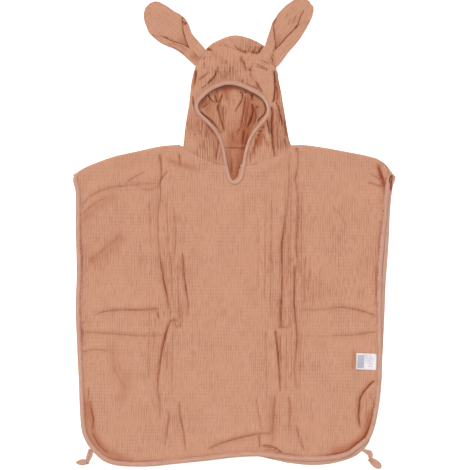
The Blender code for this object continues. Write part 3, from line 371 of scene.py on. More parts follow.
# Where the tapes' stitching gathers the cloth into puckers, with dots of painted shade in them.
EDGE_GATHERS = table(
    PATCH,
    (278, 470, 55, 1.0), (276, 380, 60, 0.9), (274, 290, 45, 0.9), (284, 540, 20, 0.6),
    (-290, 460, 50, 0.6), (-288, 390, 60, 1.0), (-287, 300, 60, 1.0), (-285, 220, 40, 0.6),
    (100, 20, 60, 0.5), (200, 20, 50, 0.6), (258, 110, 45, 1.0), (255, 60, 40, 1.0),
    (-120, 12, 60, 0.3), (-275, 110, 50, 0.9))
HOOD_CREASES = table(
    CREASE,
    # the forehead lies forward over the sides of the hood
    (((-70.3, 752.4), (-71, 743), (-72, 731.5), (-75, 720, 0.5)), 1, 0.8, 5, 0.6, 3, 0.8, 1.5),
    (((74, 752.4, 0.7), (76, 741), (76.6, 726), (76.4, 710.6), (75, 697.3),
      (72, 688, 0.8)), -1, 0.9, 5, 0.8, 3.2, 0.95, 1.5),
    (((69.3, 684, 0.8), (72.6, 672.6), (70.7, 659.3), (71.4, 642), (72, 627), (72.6, 612, 0.8),
      (75, 596.6, 0.6), (80, 581.4, 0.3)), -1, 1.8, 5, 2.4, 0, 0.9, 1.9),
    # the right side
    (((80, 726, 0.5), (82, 714.4), (83, 701), (81.7, 691.6, 0.6)), 1, 0.8, 4, 0.9, 0, 0.7, 1.2),
    (((79, 693.5, 0.6), (83, 682), (86.6, 669), (90, 655.5), (91.6, 642, 0.5)), -1, 1.6, 4, 2, 0, 0.8, 1.6),
    (((83.6, 672.6, 0.5), (86, 661), (87.4, 650, 0.5)), 1, 0.6, 4, 0.8, 0, 0.5, 1.1),
    (((95, 661, 0.5), (97, 642), (99.6, 623, 0.6)), 1, 0.8, 4, 0.8, 0, 0.45, 1.2),
    (((81, 657.4, 0.4), (81.7, 638.4), (82.5, 617.5), (85.5, 600.4, 0.5)), 1, 0.8, 5, 0.7, 0, 0.4, 1.4),
    (((94, 625, 0.6), (97, 617.5), (100.7, 602.3, 0.5)), 1, 0.7, 4, 1, 0, 0.5, 1.4),
    (((61, 659.3), (63, 653.6), (65, 644), (66, 636.5, 0.8),
      (67.6, 625, 0.3)), -1, 1.1, 4, 1.4, 0, 0.95, 1.3),
    (((54, 646), (57.4, 641, 0.7)), 1, 0.5, 3, 0.9, 0, 1, 1.8),
    (((49.4, 638.4), (51, 632.7, 0.6)), 1, 0.5, 3, 0.9, 0, 1, 1.7),
    (((45.6, 631.6), (47, 625, 0.5)), 1, 0.5, 3, 0.8, 0, 0.8, 1.6),
    (((52.4, 632.7, 0.6), (54, 621.3), (52.4, 612, 0.3)), 1, 0.5, 3, 0.6, 0, 0.35, 1.3),
    (((43, 627, 0.6), (42, 615.6), (39, 602.3), (38, 589, 0.5)), 1, 1, 4, 1.3, 0, 0.5, 1.8),
    (((32.3, 602.3, 0.5), (31.5, 587), (32.3, 574, 0.4)), 1, 0.6, 5, 0.7, 0, 0.4, 1.4),
    (((58, 638.4, 0.5), (59, 625), (58, 608, 0.3)), 1, 0.4, 3, 0.5, 0, 0.25, 1.2),
    # the forehead
    (((-69.5, 732, 0.7), (-62, 736.4), (-53, 743), (-45, 748.6, 0.5)), 1, 0.9, 4, 0.9, 0, 0.42, 1.5),
    (((-63.5, 716.7), (-57, 720, 0.7), (-50.5, 724)), 1, 0.6, 3, 0.6, 0, 0.45, 1.3),
    (((-52, 723, 0.8), (-46.7, 730), (-41.4, 734.5), (-37, 739), (-34.6, 745),
      (-35, 754.3, 0.4)), 1, 1.5, 4.5, 1.7, 0, 0.75, 1.5),
    (((-56, 770, 0.5), (-56, 760), (-54, 750, 0.7)), 1, 0.6, 4, 0.6, 0, 0.4, 1.2),
    (((-29.6, 760, 0.5), (-30, 752.4), (-29.6, 743, 0.5)), 1, 0.5, 3, 0.7, 0, 0.55, 1.3),
    (((-25.5, 752.4, 0.5), (-24.7, 745), (-21.7, 734)), 1, 0.4, 3, 0.5, 0, 0.42, 1.2),
    (((-14, 771.4), (-14.4, 760, 0.6)), 1, 0.4, 3, 0.6, 0, 0.45, 1.2),
    (((-12.5, 750.5, 0.6), (-15, 741), (-18, 734, 0.7)), 1, 0.4, 3, 0.5, 0, 0.4, 1.1),
    (((-8.4, 752.4), (-10.6, 739, 0.6)), 1, 0.4, 3, 0.5, 0, 0.35, 1.1),
    (((-7, 760, 0.6), (-7, 745)), 1, 0.4, 3, 0.5, 0, 0.25, 1.1),
    (((-39, 790.4, 0.6), (-38.4, 775)), 1, 0.3, 3, 0.4, 0, 0.3, 1.1),
    (((-32.3, 786.6), (-32.3, 771.4, 0.5)), 1, 0.3, 3, 0.4, 0, 0.22, 1.1),
    (((-22, 779, 0.5), (-22, 760)), 1, 0.3, 3, 0.4, 0, 0.2, 1.1),
    (((0, 767.6), (0.4, 737, 0.5)), 1, 0.3, 3, 0.4, 0, 0.16, 1.2),
    (((13.7, 779, 0.5), (14, 769.5), (15, 764, 0.5)), 1, 0.5, 3, 0.7, 0, 0.6, 1.7),
    (((17, 771.4, 0.6), (20, 764), (22.4, 754.3), (25, 746.7, 0.5)), 1, 0.6, 3, 0.8, 0, 0.5, 1.7),
    (((28, 775, 0.5), (27, 767.6)), 1, 0.3, 3, 0.4, 0, 0.3, 1.2),
    (((31.5, 755.4), (31, 748)), 1, 0.5, 3, 0.9, 0, 0.9, 1.2),
    (((35.7, 767.6, 0.5), (33.4, 760), (32, 752.4)), -1, 0.5, 3, 0.6, 0, 0.3, 1.3),
    (((32.3, 746.7), (33, 735.3, 0.6)), 1, 0.4, 3, 0.5, 0, 0.35, 1.2),
    (((15.6, 734), (16.3, 727)), 1, 0.4, 3, 0.6, 0, 0.7, 1.2),
    (((37, 733.4, 0.4), (42, 727), (47, 719.3), (50.5, 713), (54, 708, 0.5)), -1, 0.8, 4, 0.8, 0, 0.5, 1.7),
    (((20, 728.5, 0.5), (28.5, 723), (38, 719), (48.6, 715)), -1, 0.4, 3, 0.4, 0, 0.42, 1.1),
    (((33, 785.5), (34, 777, 0.5)), 1, 0.2, 2, 0.4, 0, 0.4, 1.1),
    # stitched by the right ear
    (((37, 766.5, 0.6), (47.5, 761), (57, 757), (66, 752.4)), 1, 0.3, 2, 0.5, 0, 0.38, 0.9),
    (((39, 759, 0.6), (49.4, 756), (59, 753), (66.5, 749)), 1, 0.3, 2, 0.5, 0, 0.38, 0.9),
    (((51.3, 771.4, 0.7), (58, 767), (64.6, 764), (69.5, 762.3)), 1, 0.5, 3, 0.7, 0, 0.5, 1.1),
    (((-52, 777.5, 0.8), (-58, 773), (-61, 769, 0.4)), -1, 0.4, 3, 0.6, 0, 0.4, 1.2),
    # under the left of the face
    (((-79, 705, 0.7), (-78.3, 693.5), (-76, 680), (-71.4, 669),
      (-67.3, 662.3)), -1, 0.6, 3, 0.9, 0, 0.6, 1.4),
    (((-59, 658), (-59.3, 636.5, 0.3)), 1, 0.4, 3, 0.7, 0, 0.45, 1.1),
    (((-52.4, 653.6), (-51.7, 642), (-52, 629, 0.4)), 1, 0.5, 3, 0.8, 0, 0.6, 1.2),
    (((-48.3, 650), (-47, 634.6, 0.5)), 1, 0.5, 3, 0.8, 0, 0.6, 1.1),
    (((-43, 645), (-41, 638.4), (-40, 627, 0.5)), 1, 0.5, 3, 0.9, 0, 0.55, 1.3),
    (((-39, 641), (-37, 636, 0.8)), 1, 0.5, 3, 0.9, 0, 1, 1.5),
    (((-34, 635.4), (-32.7, 626, 0.7)), 1, 0.5, 3, 0.9, 0, 0.9, 1.5),
    (((-29, 627), (-29, 615.6), (-31, 602.3), (-32.7, 589), (-35, 575.7, 0.5)), 1, 1, 4, 1.3, 0, 0.5, 1.5),
    (((-52.4, 630), (-53, 624)), 1, 0.3, 3, 0.5, 0, 0.7, 1.1),
    (((-65.7, 653.6, 0.6), (-66.5, 625, 0.4)), 1, 0.3, 3, 0.5, 0, 0.28, 1.1),
    (((-73.3, 661, 0.6), (-74, 631, 0.4)), 1, 0.3, 3, 0.4, 0, 0.22, 1.1),
    (((-80.6, 665), (-81.7, 627, 0.4)), 1, 0.3, 3, 0.4, 0, 0.2, 1.1),
    (((-58, 621.3, 0.5), (-57, 600.4, 0.6)), 1, 0.3, 3, 0.4, 0, 0.22, 1.1),
    (((-46.4, 623), (-45.6, 604, 0.4)), 1, 0.3, 3, 0.4, 0, 0.26, 1.1),
    (((-39, 621.3, 0.6), (-38, 606), (-37, 593, 0.4)), 1, 0.4, 3, 0.4, 0, 0.3, 1.3),
    (((-69.5, 615.6, 0.5), (-70.3, 591, 0.5)), 1, 0.3, 3, 0.4, 0, 0.2, 1.1))
INSIDE_CREASES = table(
    CREASE,
    (((-51.3, 709.5), (-48.6, 703), (-45.6, 697.3), (-40.7, 693),
      (-35.3, 688.6, 0.6)), -1, 1.4, 4, 1.8, 0, 0.85, 1.4),
    (((-37, 710.6, 0.4), (-35.3, 701, 0.6), (-32.3, 692.4), (-31, 688)), 1, 1, 4, 1.4, 0, 0.75, 1.6),
    (((-21.7, 709.5, 0.7), (-24, 703), (-26, 695.4), (-29, 688)), -1, 1, 4, 1.4, 0, 0.8, 1.5),
    (((-29.6, 690.5), (-30.4, 682), (-29, 672.6, 0.8), (-27, 665, 0.6), (-24, 655.5, 0.7),
      (-20, 644, 0.7), (-17, 632.7, 0.2)), 1, 1.8, 5, 1.8, 0, 0.75, 1.9),
    (((-20, 688, 0.4), (-21.7, 676.4), (-21, 661, 0.8), (-18.6, 648, 0.4)), -1, 0.7, 3, 0.8, 0, 0.4, 1.6),
    (((-63, 678.3, 0.8), (-57, 682.5), (-51, 686), (-45.6, 691, 0.6)), -1, 0.8, 4, 0.9, 0, 0.4, 1.5),
    (((-64, 676), (-59.7, 670), (-54, 665), (-47.5, 661, 0.95), (-42, 655.5, 0.8), (-37, 650, 0.7),
      (-32.3, 645, 0.5), (-27.4, 638.4, 0.3), (-21.3, 629.7, 0.5)), 1, 1.2, 4, 1.6, 0, 1, 1.5),
    (((14.4, 713), (16, 707), (15.6, 699), (13, 691.6), (8.4, 685, 0.8), (4.6, 678.3, 0.6),
      (2, 670.7, 0.2)), -1, 1, 4, 1.4, 0, 0.85, 1.3),
    (((23, 705, 0.5), (21.3, 693.5, 0.8), (20, 682), (18, 670.7), (16, 659.3), (14.4, 648, 0.8),
      (13.3, 636.5, 0.5)), 1, 1.4, 5, 1.2, 0, 0.5, 1.8),
    (((12.5, 712.5), (14.4, 707.6)), 1, 0.4, 3, 0.8, 0, 0.8, 1.6),
    (((22, 713), (24.3, 709)), 1, 0.4, 3, 0.8, 0, 1, 2.2),
    (((34, 708.7, 0.9), (35.3, 702), (35, 693.5, 0.5)), 1, 1, 4, 1.6, 0, 0.9, 2.6),
    (((34.6, 691.6, 0.4), (36, 684), (37, 676.4), (35.7, 669), (34, 662), (31.5, 654.4, 0.9),
      (28, 648, 0.7), (24.3, 641, 0.6)), 1, 1.8, 5, 2.2, 0, 1, 2),
    (((37, 684, 0.5), (40, 674.5), (42, 665), (40.7, 655.5, 0.6),
      (37, 647, 0.3)), -1, 1, 4, 1.2, 0, 0.5, 1.6),
    (((21.7, 641, 0.4), (19.4, 632.7), (18, 625), (17, 617.5),
      (15, 608, 0.6)), 1, 1.4, 5, 1.8, 0, 0.85, 1.7),
    (((29.3, 701, 0.5), (28.5, 688), (27.7, 672.6, 0.5)), 1, 0.5, 4, 0.5, 0, 0.25, 1.4),
    (((26, 688, 0.4), (25.5, 669), (23.6, 653.6), (20.5, 640.3, 0.5)), 1, 0.5, 4, 0.5, 0, 0.28, 1.4),
    (((57, 693.5, 0.7), (60.4, 686), (62, 678.3), (60.4, 671.5), (56.6, 666), (51.3, 662, 0.9),
      (47, 656.6, 0.7), (43.7, 649, 0.4)), 1, 1, 4, 1.5, 0, 0.95, 1.5),
    (((43, 685, 0.6), (45, 679.4)), 1, 0.5, 3, 0.9, 0, 1, 1.9),
    (((42, 689.7, 0.5), (40.7, 682, 0.6)), 1, 0.4, 3, 0.5, 0, 0.35, 1.3),
    (((10, 642), (10.3, 635.4, 0.9)), 1, 0.4, 3, 0.8, 0, 0.8, 1.1),
    (((5, 640.3, 0.4), (6.5, 634.6), (8.7, 629, 0.7)), 1, 0.4, 3, 0.6, 0, 0.35, 1.1),
    (((-2.7, 634.6, 0.5), (-2.3, 615.6)), 1, 0.4, 4, 0.6, 0, 0.35, 1.4),
    (((-11.4, 703, 0.7), (-12.5, 696.5)), 1, 0.3, 4, 0.4, 0, 0.25, 2),
    (((-9.5, 642, 0.5), (-10.3, 621.3)), 1, 0.3, 4, 0.4, 0, 0.25, 1.3),
    (((26, 634.6, 0.5), (24, 619.4), (21.7, 608)), -1, 0.5, 3, 0.5, 0, 0.35, 1.4),
    (((-14.4, 688), (-15, 661, 0.5)), 1, 0.3, 4, 0.4, 0, 0.14, 1.4),
    (((11.4, 605.7, 0.7), (24.7, 606.5)), 1, 0.2, 2, 0.3, 0, 0.65, 0.9))
FRONT_SHADES = table(
    SHADE,
    (((-277, 118), (-272, 92), (-268, 66), (-254, 40), (-230, 22), (-196, 12, 0.6)), 0.34, 7),
    (((256, 99), (253, 68), (243, 48), (220, 36), (190, 30)), 0.34, 8),
    (((274, 572, 0.6), (277, 558), (281, 545), (284, 534, 0.8)), 0.6, 4.2),
    (((-281, 475), (-255, 494), (-228, 511)), 0.14, 9),
    (((-266, 388), (-239, 410), (-217, 433)), 0.16, 11),
    (((-232, 220), (-220, 179)), 0.12, 11),
    (((-201, 173), (-213, 129)), 0.14, 10),
    (((74, 129), (72, 49)), 0.2, 7),
    (((106, 118), (106, 65)), 0.16, 5),
    (((228, 217), (226, 186)), 0.35, 3),
    (((-49, 266), (-19, 293)), 0.06, 10),
    (((-120, 580), (-97, 569), (-76, 568, 0.6)), 0.2, 4),
    (((-122, 581), (-91, 570), (-72, 562)), 0.14, 7),
    (((87, 315), (87, 266)), 0.25, 4),
    (((-133, 388), (-127, 323)), 0.2, 4))
HOOD_SHADES = table(
    SHADE,
    (((-72.6, 750.5), (-74, 733.4), (-78, 718, 0.6)), 0.5, 2.6),
    (((79, 741, 0.5), (82, 726), (83.6, 708.7), (83, 691.6, 0.7)), 0.45, 3.4),
    (((-78, 701, 0.5), (-74, 680), (-66.5, 666)), 0.4, 2.6),
    (((-61, 660, 0.4), (-51.3, 651.7, 0.8), (-42.6, 641.4), (-34.6, 632), (-27.7, 621.3, 0.7)), 0.55, 4.6),
    (((-76, 672, 0.6), (-66, 645), (-56, 615, 0.7)), 0.17, 11),
    (((-39, 625, 0.7), (-35.3, 610), (-35, 594.7, 0.7)), 0.34, 4),
    (((64.6, 658, 0.5), (58, 646, 0.8), (51.3, 635.4), (47, 623), (43, 608, 0.7)), 0.62, 4.6),
    (((47, 625), (44.5, 613.7)), 0.3, 4),
    (((39, 604, 0.9), (38, 587, 0.4)), 0.34, 3.4),
    (((73.3, 680, 0.5), (73.7, 659.3), (74, 629), (77, 600.4, 0.4)), 0.4, 2.8),
    (((87.4, 686, 0.6), (93, 657.4), (96, 627), (100.7, 608, 0.4)), 0.3, 4.5),
    (((80, 672.6, 0.5), (83.6, 646), (85.5, 615.6, 0.4)), 0.22, 3),
    (((14.4, 773.3), (18, 760), (23, 748.6, 0.6)), 0.2, 4.5),
    (((31.5, 752.4), (35.7, 735.3, 0.8), (43.7, 726, 0.6)), 0.16, 3),
    (((42, 726, 0.7), (49.4, 714.4), (55, 703, 0.5)), 0.24, 3.4),
    (((-38, 733.4), (-46.4, 724.7, 0.6)), 0.22, 3),
    (((-55, 746.7, 0.6), (-64.6, 733.4)), 0.12, 4),
    (((-48, 792.3), (-44, 789)), 0.7, 2.4),
    (((7.6, 789.6, 0.5), (18, 785.5), (26.6, 783, 0.6)), 0.3, 2.4),
    (((-30.4, 760, 0.5), (-32.3, 745), (-38, 733.4, 0.5)), 0.14, 3.6))
CROWN_CREASES = table(
    CREASE,
    (((-1, 802, 0.5), (4, 795, 0.6), (10.3, 790), (17, 786),
      (26.6, 783.6, 0.8)), 1, 0.6, 4, 1, 0, 0.62, 1.2),
    (((13.3, 796, 0.6), (14.4, 788.5)), 1, 0.3, 3, 0.5, 0, 0.3, 1.1),
    (((28.5, 795, 0.5), (29.6, 786)), 1, 0.5, 3, 0.8, 0, 0.6, 1.2),
    (((33.4, 789), (37, 785.5), (42.6, 781.3)), 1, 0.5, 3, 1.1, 0, 1, 1.5),
    (((38, 793, 0.6), (39.5, 786.6)), 1, 0.5, 3, 0.8, 0, 0.7, 1.2),
    (((44.5, 782), (48, 789), (52, 795), (55.5, 799)), 1, 0.5, 3, 1, 0, 0.95, 1.8),
    (((43.0, 787.4), (44.5, 778)), 1, 0.4, 3, 0.9, 0, 1, 2.4),
    (((31, 800, 0.4), (33, 792.3)), 1, 0.5, 3, 0.6, 0, 0.35, 1.1),
    (((41, 798, 0.5), (42.6, 790.4)), 1, 0.5, 3, 0.6, 0, 0.45, 1.1),
    (((47.5, 799, 0.5), (48, 791.5)), 1, 0.5, 3, 0.6, 0, 0.5, 1.1),
    (((23, 791.5, 0.6), (23.6, 784.7)), 1, 0.4, 3, 0.6, 0, 0.45, 1.1),
    (((-21.7, 802, 0.5), (-8.4, 795.3)), 1, 0.4, 5, 0.4, 0, 0.22, 1.6),
    (((-49, 795), (-47, 790.4), (-42, 788.5)), 1, 0.3, 4, 1.2, 0, 1, 2.2))
INSIDE_SHADES = table(
    SHADE,
    (((-64.6, 699, 0.5), (-49.4, 712.5, 0.5), (-38, 717), (-26.6, 721), (-13.3, 722), (4, 719),
      (17, 714.4), (30.4, 708.7, 0.8), (45.6, 703, 0.6), (57, 693.5, 0.5)), 0.55, 3.8),
    (((-32.3, 712.5), (-31.5, 695.4, 0.7)), 0.62, 4),
    (((-16, 714.4), (-13.3, 699, 0.6)), 0.52, 5.5),
    (((-24.7, 718), (-7.6, 716.3)), 0.4, 5),
    (((-56, 701), (-59, 688, 0.8)), 0.46, 7.5),
    (((-50, 690), (-47, 668, 0.7)), 0.3, 8),
    (((-27.7, 688), (-26, 674.5), (-23.6, 659.3, 0.7), (-19.4, 646, 0.6)), 0.42, 3.4),
    (((35, 707), (35.7, 693.5)), 0.3, 4),
    (((24.7, 699, 0.8), (25.5, 680, 0.9), (23, 661), (18, 642, 0.9), (17, 615.6)), 0.55, 6.5),
    (((38, 680), (37, 665), (32.3, 650, 0.8)), 0.75, 5),
    (((28.5, 642), (23.6, 627), (20, 608)), 0.62, 6.5),
    (((45.6, 693.5, 0.7), (47.5, 684)), 0.22, 6),
    (((4, 642, 0.4), (2, 623), (2, 606)), 0.42, 10),
    (((-11.4, 627, 0.6), (-9.5, 606)), 0.28, 7),
    (((58, 688, 0.6), (59.7, 676.4), (53, 665, 0.5)), 0.3, 3))
BACK_SHADES = table(
    SHADE,
    (((-10, 600), (-8, 562), (0, 540)), 0.5, 5),
    (((17, 600), (11, 572), (6, 547)), 0.65, 5),
    (((4, 600), (2, 559)), 0.3, 9))
EAR_CREASES = table(
    CREASE,
    (((117, 828), (122, 842), (125, 851), (131, 863), (134, 870)), 1, 0.3, 3, 0.5, 0, 0.55, 1.2),
    (((111, 838), (116, 853), (119, 860)), 1, 0.2, 3, 0.4, 0, 0.3, 1.1),
    (((97, 850), (103, 862)), 1, 0.2, 3, 0.3, 0, 0.25, 1.1),
    (((102, 836), (108, 852)), 1, 0.2, 3, 0.3, 0, 0.22, 1.1),
    (((79, 801), (76, 791), (74, 782)), 1, 0.2, 3, 0.4, 0, 0.4, 1.2),
    (((73, 775), (73, 764)), 1, 0.2, 3, 0.5, 0, 0.6, 1.5),
    (((-96, 846), (-92, 837)), 1, 0.3, 3, 0.5, 0, 0.7, 1.5),
    (((-92, 844), (-90, 838)), 1, 0.3, 3, 0.5, 0, 0.8, 1.6),
    (((-134, 817), (-124, 812)), 1, 0.3, 4, 0.4, 0, 0.45, 1.7),
    (((-80, 792), (-75, 784), (-70, 777), (-66, 774)), 1, 0.3, 4, 0.4, 0, 0.14, 2.8),
    (((-122, 806), (-104, 799), (-86, 788)), 1, 0.3, 3, 0.3, 0, 0.25, 1.2),
    (((-128, 805), (-110, 793), (-92, 782)), 1, 0.3, 3, 0.3, 0, 0.2, 1.2))
EAR_SHADES = table(
    SHADE,
    (((-78, 778), (-72, 774)), 0.35, 5),
    (((-64, 770, 0.7), (-58, 775), (-50, 783)), 0.4, 4),
    (((74, 778), (74, 764)), 0.3, 4))
# Lines of painted shade on the tape at the right shoulder's corner, with no relief of their own: they stand
# for the shade in a small gap there.
TAPE_CREASES = table(
    CREASE,
    (((296, 534), (295, 543), (296, 549), (299, 553), (301, 548), (299, 540), (299, 520)),
     1, 0.0, 3, 0.0, 0, 1.0, 1.5),
    (((287, 552), (291, 557), (295, 561)), 1, 0.0, 3, 0.0, 0, 0.5, 1.2))
BACK_CREASES = table(
    CREASE,
    # seen through the slit
    (((-4, 588), (-4, 553)), 1, 0.5, 4, 0.4, 0, 0.45, 1.4),
    (((8, 600), (9, 560)), 1, 0.5, 4, 0.4, 0, 0.2, 1.4),
    (((-12, 604), (9, 604)), 1, 0.2, 3, 0.2, 0, 0.25, 1.0),
    (((9, 603), (28, 603)), 1, 0.3, 3, 0.3, 0, 0.6, 1.1))
# All over the back panel: the same large creases as the front's, softer.
UNDER_CREASES = table(
    CREASE,
    (((-140, 590), (-143, 470), (-132, 300), (-142, 180), (-128, 40)), 1, 0.9, 9, 0.6, 0, 0.5, 1.6),
    (((102, 590), (90, 420), (89, 270), (86, 150), (92, 40)), -1, 0.9, 9, 0.6, 0, 0.55, 1.7),
    (((122, 560), (118, 400), (116, 280), (118, 150)), -1, 0.8, 8, 0.5, 0, 0.4, 1.5),
    (((-250, 294), (-150, 298), (-20, 305), (140, 298), (262, 290)), 1, 0.8, 9, 0.5, 0, 0.4, 1.8),
    (((-280, 505), (-170, 538), (-90, 545)), 1, 0.7, 10, 0.4, 0, 0.3, 2.0),
    (((180, 560), (225, 540), (280, 515)), 1, 0.7, 10, 0.4, 0, 0.3, 2.0),
    (((-40, 40), (30, 62), (80, 60), (120, 36)), 1, 0.8, 10, 0.5, 0, 0.5, 1.8),
    (((246, 160), (236, 120), (238, 80)), 1, 0.8, 8, 0.5, 0, 0.5, 1.6))


# --- Reading tables and drawing lines.

def smooth_step(t):
    t = np.clip(t, 0.0, 1.0)
    return t * t * (3 - 2 * t)


def between_rows(rows, at):
    """The table row at a fractional row number, on a smooth curve through the rows."""
    at = np.asarray(at, float)
    cells = np.array([tuple(row) for row in rows], float)
    i = np.clip(at.astype(int), 0, len(rows) - 2)
    t = (at - i)[..., None]
    p, a, b, q = (cells[np.clip(i + k, 0, len(rows) - 1)] for k in (-1, 0, 1, 2))
    read = 0.5 * (2 * a + (b - p) * t + (2 * p - 5 * a + 4 * b - q) * t**2
                  + (3 * a - p - 3 * b + q) * t**3)
    return type(rows[0])(*(read[..., k] for k in range(cells.shape[1])))


def smooth_line(rows):
    """A two-column table as a function of its first column, on a smooth curve through the rows."""
    keys = np.array([row[0] for row in rows], float)
    values = np.array([row[1] for row in rows], float)
    last = len(keys) - 1
    slopes = np.array([(values[min(k + 1, last)] - values[max(k - 1, 0)])
                       / (keys[min(k + 1, last)] - keys[max(k - 1, 0)]) for k in range(last + 1)])

    def read(at):
        at = np.clip(at, keys[0], keys[-1])
        i = np.clip(np.searchsorted(keys, at, side="right") - 1, 0, last - 1)
        step = keys[i + 1] - keys[i]
        t = (at - keys[i]) / step
        return ((2 * t**3 - 3 * t**2 + 1) * values[i] + (t**3 - 2 * t**2 + t) * step * slopes[i]
                + (3 * t**2 - 2 * t**3) * values[i + 1] + (t**3 - t**2) * step * slopes[i + 1])

    return read


def rounded(line, times=3):
    """A line with its corners cut, its ends kept."""
    line = np.array(line, float)
    for _ in range(times):
        cut = np.empty((2 * len(line) - 2, line.shape[1]))
        cut[0::2] = 0.75 * line[:-1] + 0.25 * line[1:]
        cut[1::2] = 0.25 * line[:-1] + 0.75 * line[1:]
        line = np.vstack([line[:1], cut, line[-1:]])
    return line


def lengths(line):
    return np.concatenate([[0.0], np.cumsum(np.linalg.norm(np.diff(line, axis=0), axis=1))])


def even_line(line, step):
    """The line's points again, a fixed distance apart."""
    line = np.asarray(line, float)
    run = lengths(line)
    at = np.linspace(0, run[-1], max(2, round(run[-1] / step) + 1))
    return np.stack([np.interp(at, run, line[:, k]) for k in range(line.shape[1])], axis=1)


def beside(line, x, y):
    """Distance to a line, positive on the left of its way, and how far along it the nearest point is."""
    nearest = np.full(x.shape, np.inf)
    signed = np.zeros(x.shape)
    along = np.zeros(x.shape)
    run = lengths(line)
    for k in range(len(line) - 1):
        ax, ay = line[k][:2]
        dx, dy = line[k + 1][:2] - line[k][:2]
        length = math.hypot(dx, dy)
        if length < 1e-6:
            continue
        t = np.clip(((x - ax) * dx + (y - ay) * dy) / length**2, 0, 1)
        away = np.hypot(x - ax - t * dx, y - ay - t * dy)
        closer = away < nearest
        side = np.where(dx * (y - ay) - dy * (x - ax) >= 0, 1.0, -1.0)
        nearest = np.where(closer, away, nearest)
        signed = np.where(closer, side * away, signed)
        along = np.where(closer, run[k] + t * length, along)
    return signed, along, run[-1]


def with_strength(points):
    """A smooth line through the points, each with its strength."""
    return rounded([(*point, 1.0)[:3] for point in points], 2)


def points_near(line, reach, x, y):
    return ((x > line[:, 0].min() - reach) & (x < line[:, 0].max() + reach)
            & (y > line[:, 1].min() - reach) & (y < line[:, 1].max() + reach))


def together(*shades):
    """Soft shades laid over each other."""
    light = 1.0
    for shade in shades:
        light = light * (1 - shade)
    return 1 - light


def creased(rows, x, y):
    """How far the creases lift the cloth, their soft shade, and the nearest pinched line.

    The line is given by the distance to it, in its own half widths and positive towards its ridge, so
    that it can be read between points, and by how dark the painted shade on it is.
    """
    lift = np.zeros(x.shape)
    soft = np.zeros(x.shape)
    nearest = np.full(x.shape, 9.0)
    away = np.full(x.shape, 9.0)
    dark = np.zeros(x.shape)
    for row in rows:
        line = with_strength(row.line)
        near = points_near(line, 4 * row.width + (60 if row.step else 0), x, y)
        if not near.any():
            continue
        signed, along, total = beside(line[:, :2], x[near], y[near])
        fade = min(7.0, 0.3 * total)
        strength = np.interp(along, lengths(line[:, :2]), line[:, 2])
        strength = strength * smooth_step(np.minimum(along, total - along) / fade)
        ridge = row.rise * np.exp(-((signed - 0.8 * row.side * row.width) / row.width) ** 2)
        groove = np.exp(-(signed / (0.34 * row.width)) ** 2)
        raised = ridge - row.depth * groove
        if row.step:
            raised = raised - row.step * smooth_step(-row.side * signed / 2.5 + 0.2) * np.exp(
                -np.maximum(-row.side * signed - 12, 0) / 12)
        lift[near] += raised * strength
        low_side = -row.side * signed
        spread = row.width * np.where(low_side > 0, 0.68, 0.28)
        shade = 0.5 * row.dark * strength * np.exp(-(low_side / spread) ** 2)
        soft[near] = together(soft[near], shade)
        closer = np.abs(signed) < nearest[near]
        nearest[near] = np.where(closer, np.abs(signed), nearest[near])
        away[near] = np.where(closer, -low_side / row.sharp, away[near])
        fresh = row.dark * strength * (1 - smooth_step((np.abs(signed) - 3.5) / 2.5))
        dark[near] = np.where(closer, fresh, dark[near])
    return lift, soft, np.clip(away, -9, 9), dark


def shaded(rows, x, y):
    """Soft shade, 0 to 1."""
    shade = np.zeros(x.shape)
    for row in rows:
        line = with_strength(row.line)
        near = points_near(line, 3 * row.width, x, y)
        if near.any():
            signed, along, _ = beside(line[:, :2], x[near], y[near])
            strength = row.strength * np.interp(along, lengths(line[:, :2]), line[:, 2])
            soft = strength * np.exp(-(signed / row.width) ** 2)
            shade[near] = together(shade[near], soft)
    return shade


def patches(rows, x, y):
    """How strongly the nearest of a few round patches is felt."""
    felt = np.zeros(np.shape(x))
    for row in rows:
        felt = np.maximum(felt, row.strength * np.exp(
            -((x - row.x) ** 2 + (y - row.y) ** 2) / row.reach**2))
    return felt


def patchy(x, y, size_x, size_y, seed):
    """Soft unevenness between -1 and 1, with patches of the given size."""
    cells = 64
    values = np.random.default_rng(seed).uniform(-1, 1, (cells, cells))
    gx, gy = x / size_x + 7.3, y / size_y + 3.1
    ix, iy = np.floor(gx).astype(int), np.floor(gy).astype(int)
    tx, ty = smooth_step(gx - ix), smooth_step(gy - iy)

    def value(a, b):
        return values[(ix + a) % cells, (iy + b) % cells]

    low = value(0, 0) * (1 - tx) + value(1, 0) * tx
    high = value(0, 1) * (1 - tx) + value(1, 1) * tx
    return low * (1 - ty) + high * ty


def crinkle(u, v, seed):
    """The gauze's own relief: upright wrinkles of uneven length, with fainter ones across."""
    upright = patchy(u, v, 5.0, 60.0, seed) + 0.5 * patchy(u, v, 11.0, 90.0, seed + 1)
    across = patchy(u, v, 50.0, 8.0, seed + 2)
    return 0.16 * upright + 0.06 * across


# --- Finishes.

def new_material(name):
    made = bpy.data.materials.new(name)
    made.use_nodes = True
    return made, made.node_tree, made.node_tree.nodes["Principled BSDF"]


def add_node(tree, kind, inputs=None, **settings):
    node = tree.nodes.new(kind)
    for key, value in settings.items():
        setattr(node, key, value)
    for key, value in (inputs or {}).items():
        if isinstance(value, bpy.types.NodeSocket):
            tree.links.new(value, node.inputs[key])
        else:
            node.inputs[key].default_value = value
    return node


def set_sockets(shader, values):
    for name, value in values.items():
        shader.inputs[name].default_value = value


def finished(tree, shader, base, bump, values):
    """Joins colour and relief to the shader, and sets the shader's own sockets."""
    tree.links.new(base, shader.inputs["Base Color"])
    if bump:
        tree.links.new(bump.outputs["Normal"], shader.inputs["Normal"])
    set_sockets(shader, values)


